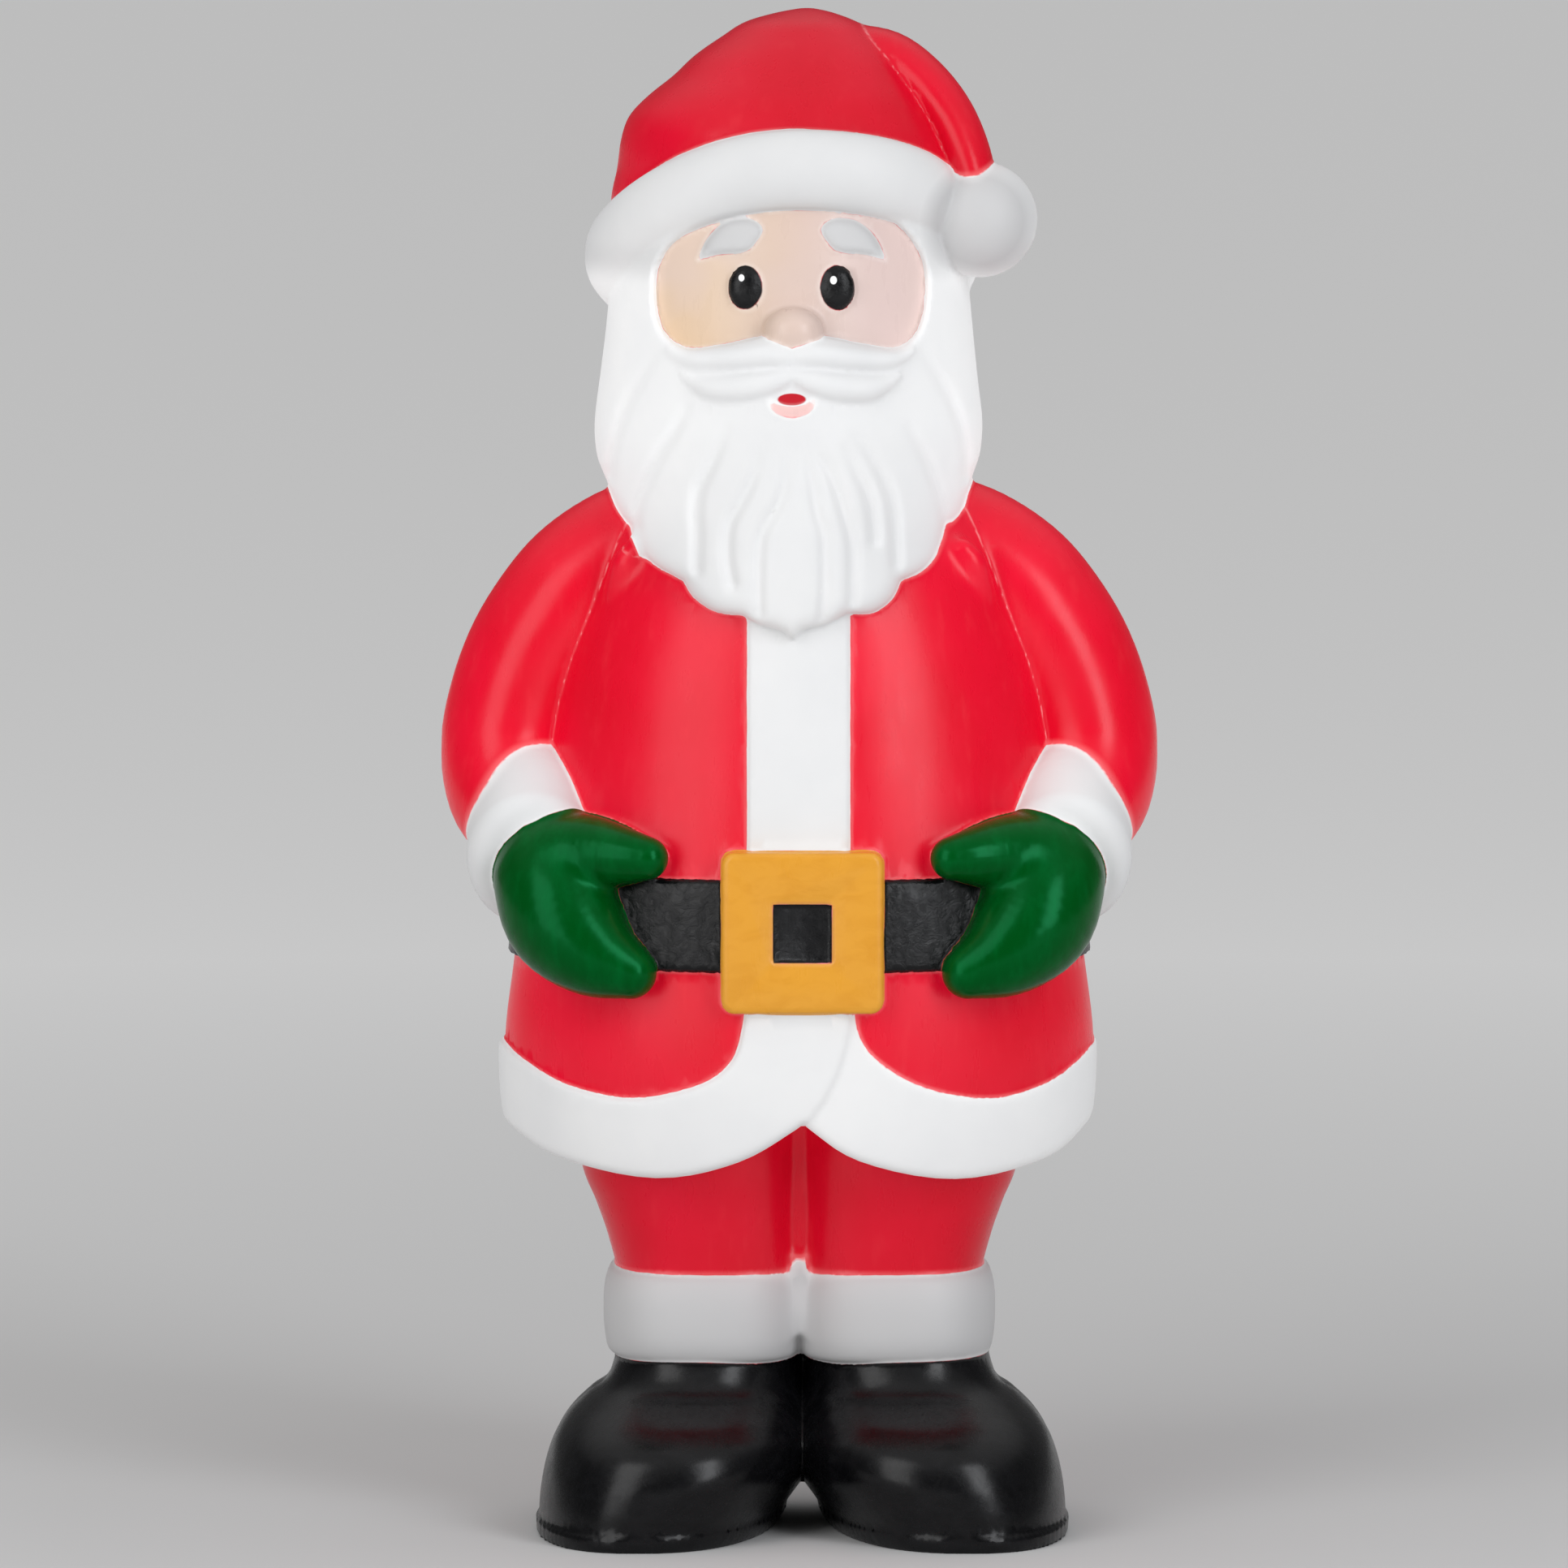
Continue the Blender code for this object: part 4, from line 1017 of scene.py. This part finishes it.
def painted_shell():
    """Translucent plastic under brushed paints, the lamp's light from within painted on as glow."""
    n = Nodes("painted_plastic")
    ragged = n.math("MULTIPLY", n.math("SUBTRACT", n.noise(110, 3), 0.5), 0.9)

    def within(name, soft=0.2):
        edge = n.math("ADD", n.attribute(name), ragged)
        return n.map(edge, -soft, soft, 1.0, 0.0)

    cloud = n.noise(14, 4, 0.55)
    brush = n.noise(150, 5, 0.6, stretch=(1, 1, 0.25))
    strokes = n.noise(150, 4, 0.6, stretch=(0.5, 1, 1.0), distortion=0.6)
    crinkle = n.noise(210, 6, 0.65, distortion=1.2)
    colour, masks = paint_colours(n, within, cloud, brush, strokes)
    dark = n.math("ADD", masks["black"], masks["green"], clamp=True)
    bright = n.math("SUBTRACT", 1.0, dark)
    colour = borders(n, colour, masks, bright)
    n.put(n.shader.inputs["Base Color"], colour)
    # The lamp's light through the shell is painted on as glow
    n.put(n.shader.inputs["Emission Color"], colour)
    n.put(n.shader.inputs["Emission Strength"], n.math("MULTIPLY", glow(n, masks), bright))
    rough = n.map(brush, 0.3, 0.7, 0.25, 0.34)
    rough = n.mix_number(masks["white"], rough, n.map(cloud, 0.3, 0.7, 0.48, 0.56))
    rough = n.mix_number(masks["green"], rough, n.map(brush, 0.3, 0.7, 0.20, 0.27))
    rough = n.mix_number(masks["black"], rough, n.map(crinkle, 0.3, 0.7, 0.22, 0.31))
    n.put(n.shader.inputs["Roughness"], rough)
    n.shader.inputs["Specular IOR Level"].default_value = 0.25
    n.put(n.shader.inputs["Specular Tint"], n.mix(masks["green"], (1, 1, 1), GREEN_GLOSS))
    bump = n.add("ShaderNodeBump")
    bump.inputs["Strength"].default_value = 0.6
    bump.inputs["Distance"].default_value = 0.0006
    height = n.mix_number(masks["white"], n.math("MULTIPLY", brush, 0.09), n.math("MULTIPLY", cloud, 0.3))
    height = n.mix_number(masks["gold"], height, n.math("MULTIPLY", strokes, 0.5))
    scuffs = n.math("MULTIPLY", crinkle, n.map(n.along("Z"), *BOOT_SCUFF_END, 0.12, 1.0))
    height = n.mix_number(masks["black"], height, scuffs)
    n.put(bump.inputs["Height"], height)
    n.put(n.shader.inputs["Normal"], bump.outputs[0])
    return n.material


def paint_colours(n, within, cloud, brush, strokes):
    """Every paint's colour laid over the red, and each paint's share at a point."""
    across, up = n.along("X"), n.along("Z")
    red = n.mix(n.map(cloud, 0.35, 0.7), *RED_SHADES)
    red = n.mix(n.map(brush, 0.56, 0.8, 0, 0.25), red, RED_BRUSHED)
    white = n.mix(n.map(cloud, 0.4, 0.7), *WHITE_SHADES)
    # The white is painted greyer as shade round the boots, on the pompom and on the brows
    white = n.mix(painted_shade_on_white(n), white, WHITE_PAINTED_SHADE)
    blush = n.map(across, -0.045, 0.035, eased=True)
    skin = n.mix(blush, *SKIN_SHADES)
    warm = n.math("MULTIPLY", n.map(across, -0.02, -0.05), n.map(up, 0.505, 0.48))
    skin = n.mix(n.math("MULTIPLY", warm, 0.7), skin, SKIN_WARM)
    skin = n.mix(n.map(n.noise(26, 2), 0.42, 0.62, 0, 0.5), skin, SKIN_CLOUDED)
    green = n.mix(n.map(brush, 0.45, 0.75), *GREEN_SHADES)
    gold = n.mix(n.map(strokes, 0.45, 0.7), *GOLD_SHADES)
    black = n.mix(n.map(strokes, 0.4, 0.8), *BLACK_SHADES)
    colour, masks = red, {}
    paints = {"white": white, "skin": skin, "green": green, "black": black, "gold": gold, "lip": LIP_PINK}
    for name, paint in paints.items():
        masks[name] = within(name)
        colour = n.mix(masks[name], colour, paint)
    front = n.math("LESS_THAN", n.along("Y"), FACE_FRONT)
    x, z = MOUTH
    mouth = n.oval(((FACE_AXIS + x) * UNIT, z * UNIT), [radius * UNIT for radius in MOUTH_RADII])
    mouth = n.math("MULTIPLY", n.map(mouth, -0.0002, 0.0001, 1.0, 0.0), front)
    colour = n.mix(mouth, colour, MOUTH_RED)
    for side, (x, z, radius) in zip((-1, 1), GLINTS):
        x, z = (FACE_AXIS + EYE[0] * side + x) * UNIT, (EYE[2] + z) * UNIT
        glint = n.oval((x, z), (radius * UNIT, 1.2 * radius * UNIT))
        glint = n.math("MULTIPLY", n.map(glint, -0.0001, 0.0001, 1.0, 0.0), front)
        colour = n.mix(glint, colour, GLINT_WHITE)
    return colour, masks


def painted_shade_on_white(n):
    """Where the white is painted greyer as shade: round the boots, on the pompom and on the brows."""
    x, _, z = POMPOM
    low = n.map(n.along("Z"), *FUR_ROUND_BOOTS, 1.0, 0.0)
    pompom = n.map(n.oval((x * UNIT, z * UNIT), (POMPOM_RADIUS * UNIT,) * 2), -0.006, 0.001, 1.0, 0.0)
    brows = n.map(n.oval((FACE_AXIS * UNIT, BROWS_HEIGHT), BROWS_REACH), -0.001, 0.001, 0.8, 0.0)
    return n.math("MAXIMUM", low, n.math("MAXIMUM", pompom, brows))


def borders(n, colour, masks, bright):
    """The light that shows through where two paints meet or two forms do, pale on white and coral on red."""
    edge = n.attribute("edge")
    pale = n.math("ADD", masks["white"], masks["skin"], clamp=True)
    light = n.mix(pale, BORDER_LIGHT_CORAL, BORDER_LIGHT_PALE)
    line = n.map(edge, 0.0, 0.5, 0.6, 0.0, eased=True)
    halo = n.map(edge, 0.0, 2.0, 0.2, 0.0, eased=True)
    fold = n.map(n.attribute("seam"), 0.0, 0.7, 0.35, 0.0, eased=True)
    fold = n.math("MULTIPLY", fold, n.math("SUBTRACT", 1.0, pale))
    share = n.math("MAXIMUM", n.math("MAXIMUM", line, halo), fold)
    share = n.math("MULTIPLY", share, n.math("SUBTRACT", 1.0, n.math("MULTIPLY", masks["gold"], 0.6)))
    return n.mix(n.math("MULTIPLY", share, bright), colour, light)


def glow(n, masks):
    """How much of the lamp's light each paint gives off as painted glow: most in the coat, hem and beard,
    with painted rim light towards the sides of the hat, beard, brim and face.
    """
    up = n.along("Z")
    aside = n.math("ABSOLUTE", n.along("X"))
    coat = n.math("MULTIPLY", n.map(up, 0.14, 0.2, eased=True), n.map(up, 0.42, 0.5, 1.0, 0.0, eased=True))
    hat = n.map(up, 0.5, 0.53, eased=True)
    legs_glow, coat_glow, cuff_glow, painted_shade_glow, gold_glow = 0.2, 0.38, 0.15, 0.1, 0.15
    # More glow towards the sides is painted rim light, here and on the beard, brim and face
    red = n.mix_number(hat, n.mix_number(coat, legs_glow, coat_glow), n.map(aside, 0.0, 0.06, 0.08, 0.24))
    cuff = n.math("MULTIPLY", n.map(up, 0.21, 0.24, eased=True), n.map(aside, 0.03, 0.08, eased=True))
    white = n.mix_number(cuff, n.map(up, 0.2, 0.24, 0.28, 0.2), cuff_glow)
    beard = n.math("MULTIPLY", n.map(up, 0.37, 0.42, eased=True), n.map(up, *BRIM_FOOT, 1.0, 0.0, eased=True))
    white = n.mix_number(beard, white, n.map(aside, 0.02, 0.075, 0.2, 0.55, eased=True))
    above = n.map(up, *BRIM_FOOT, eased=True)
    brim = n.math("MULTIPLY", above, n.map(aside, 0.02, 0.07, 0.05, 0.22))
    white = n.mix_number(above, white, brim)
    # Less glow where the white is painted greyer as shade
    white = n.mix_number(painted_shade_on_white(n), white, painted_shade_glow)
    skin = n.map(aside, 0.015, 0.05, 0.06, 0.24, eased=True)
    shine = n.mix_number(masks["white"], red, white)
    shine = n.mix_number(masks["skin"], shine, skin)
    shine = n.mix_number(masks["gold"], shine, gold_glow)
    rim = n.map(n.attribute("edge"), 0.0, 1.8, 0.08, 0.0, eased=True)
    return n.math("ADD", shine, rim)


def cap_plastic():
    """Plain white moulded plastic with a faint grain."""
    n = Nodes("cap_white")
    grain = n.noise(600, 3)
    n.put(n.shader.inputs["Base Color"], n.mix(n.map(n.noise(40), 0.4, 0.7), *CAP_SHADES))
    n.put(n.shader.inputs["Roughness"], n.map(grain, 0.3, 0.7, 0.42, 0.55))
    bump = n.add("ShaderNodeBump")
    bump.inputs["Strength"].default_value = 0.2
    bump.inputs["Distance"].default_value = 0.0002
    n.put(bump.inputs["Height"], grain)
    n.put(n.shader.inputs["Normal"], bump.outputs[0])
    return n.material


def floor():
    """A wide pale floor, painted darker round the figure as shade and a little paler further off."""
    mesh = bpy.data.meshes.new("floor")
    corners = [(x * FLOOR_REACH, y * FLOOR_REACH, 0) for x, y in ((-1, -1), (1, -1), (1, 1), (-1, 1))]
    mesh.from_pydata(corners, [], [(0, 1, 2, 3)])
    made = bpy.data.objects.new("floor", mesh)
    bpy.context.scene.collection.objects.link(made)
    n = Nodes("pale_floor")
    away = n.add("ShaderNodeVectorMath", operation="LENGTH")
    n.put(away.inputs[0], n.place)
    n.put(n.shader.inputs["Base Color"], n.mix(n.map(away.outputs["Value"], *FLOOR_FADE), *FLOOR_SHADES))
    n.shader.inputs["Roughness"].default_value = 0.9
    mesh.materials.append(n.material)
    made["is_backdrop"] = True


def aim(made, place):
    """Turns a light or a camera to look at a place."""
    made.rotation_euler = (Vector(place) - made.location).to_track_quat("-Z", "Y").to_euler()


def softbox(name, around, size, colour=(1, 1, 1)):
    """An oblong soft light aimed at the figure's middle; around is its angle from the front."""
    light = bpy.data.lights.new(name, "AREA")
    light.shape = "RECTANGLE"
    light.size, light.size_y = size
    light.energy = LIGHT_POWER
    light.color = colour
    made = bpy.data.objects.new(name, light)
    bpy.context.scene.collection.objects.link(made)
    angle, rise = math.radians(around), math.radians(LIGHT_UP)
    flat = LIGHT_DISTANCE * math.cos(rise)
    height = LIGHT_AIM + LIGHT_DISTANCE * math.sin(rise)
    made.location = (flat * math.sin(angle), -flat * math.cos(angle), height)
    aim(made, (0, 0, LIGHT_AIM))


def studio(backward):
    """The camera at the photograph's angle, two softboxes and a room that is light overhead."""
    camera = bpy.data.cameras.new("camera")
    made = bpy.data.objects.new("camera", camera)
    bpy.context.scene.collection.objects.link(made)
    camera.sensor_width = CAMERA_SENSOR
    camera.lens = CAMERA_LENS
    camera.shift_x, camera.shift_y = CAMERA_SHIFT
    camera.clip_end = CAMERA_REACH
    made.location = (0, backward - CAMERA_DISTANCE, CAMERA_HEIGHT)
    aim(made, (0, backward, CAMERA_AIM))
    bpy.context.scene.camera = made
    softbox("left_softbox", -LIGHT_AROUND, LEFT_LIGHT_SIZE)
    softbox("right_softbox", LIGHT_AROUND, RIGHT_LIGHT_SIZE, RIGHT_LIGHT_COLOUR)
    world = bpy.data.worlds.new("white_room")
    world.use_nodes = True
    tree = world.node_tree
    way = tree.nodes.new("ShaderNodeTexCoord")
    split = tree.nodes.new("ShaderNodeSeparateXYZ")
    rise = tree.nodes.new("ShaderNodeMapRange")
    for name, value in zip(("From Min", "From Max", "To Min", "To Max"), (*ROOM_RISE, *ROOM_STRENGTH)):
        rise.inputs[name].default_value = value
    tree.links.new(way.outputs["Generated"], split.inputs[0])
    tree.links.new(split.outputs["Z"], rise.inputs["Value"])
    tree.links.new(rise.outputs[0], tree.nodes["Background"].inputs["Strength"])
    tree.nodes["Background"].inputs["Color"].default_value = (1, 1, 1, 1)
    bpy.context.scene.world = world
    bpy.context.scene.view_settings.view_transform = "Standard"


santa, backward = sculpt()
santa.data.materials.clear()
santa.data.materials.append(painted_shell())
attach(santa, "root")
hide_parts("santa_shell")
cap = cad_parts["lamp_cap"]
cap.data.materials.clear()
cap.data.materials.append(cap_plastic())
floor()
studio(backward)
boxes = {"cad": CAD_BOX, "visual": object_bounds()}
{name: [[float(v) for v in corner] for corner in found] for name, found in boxes.items()}
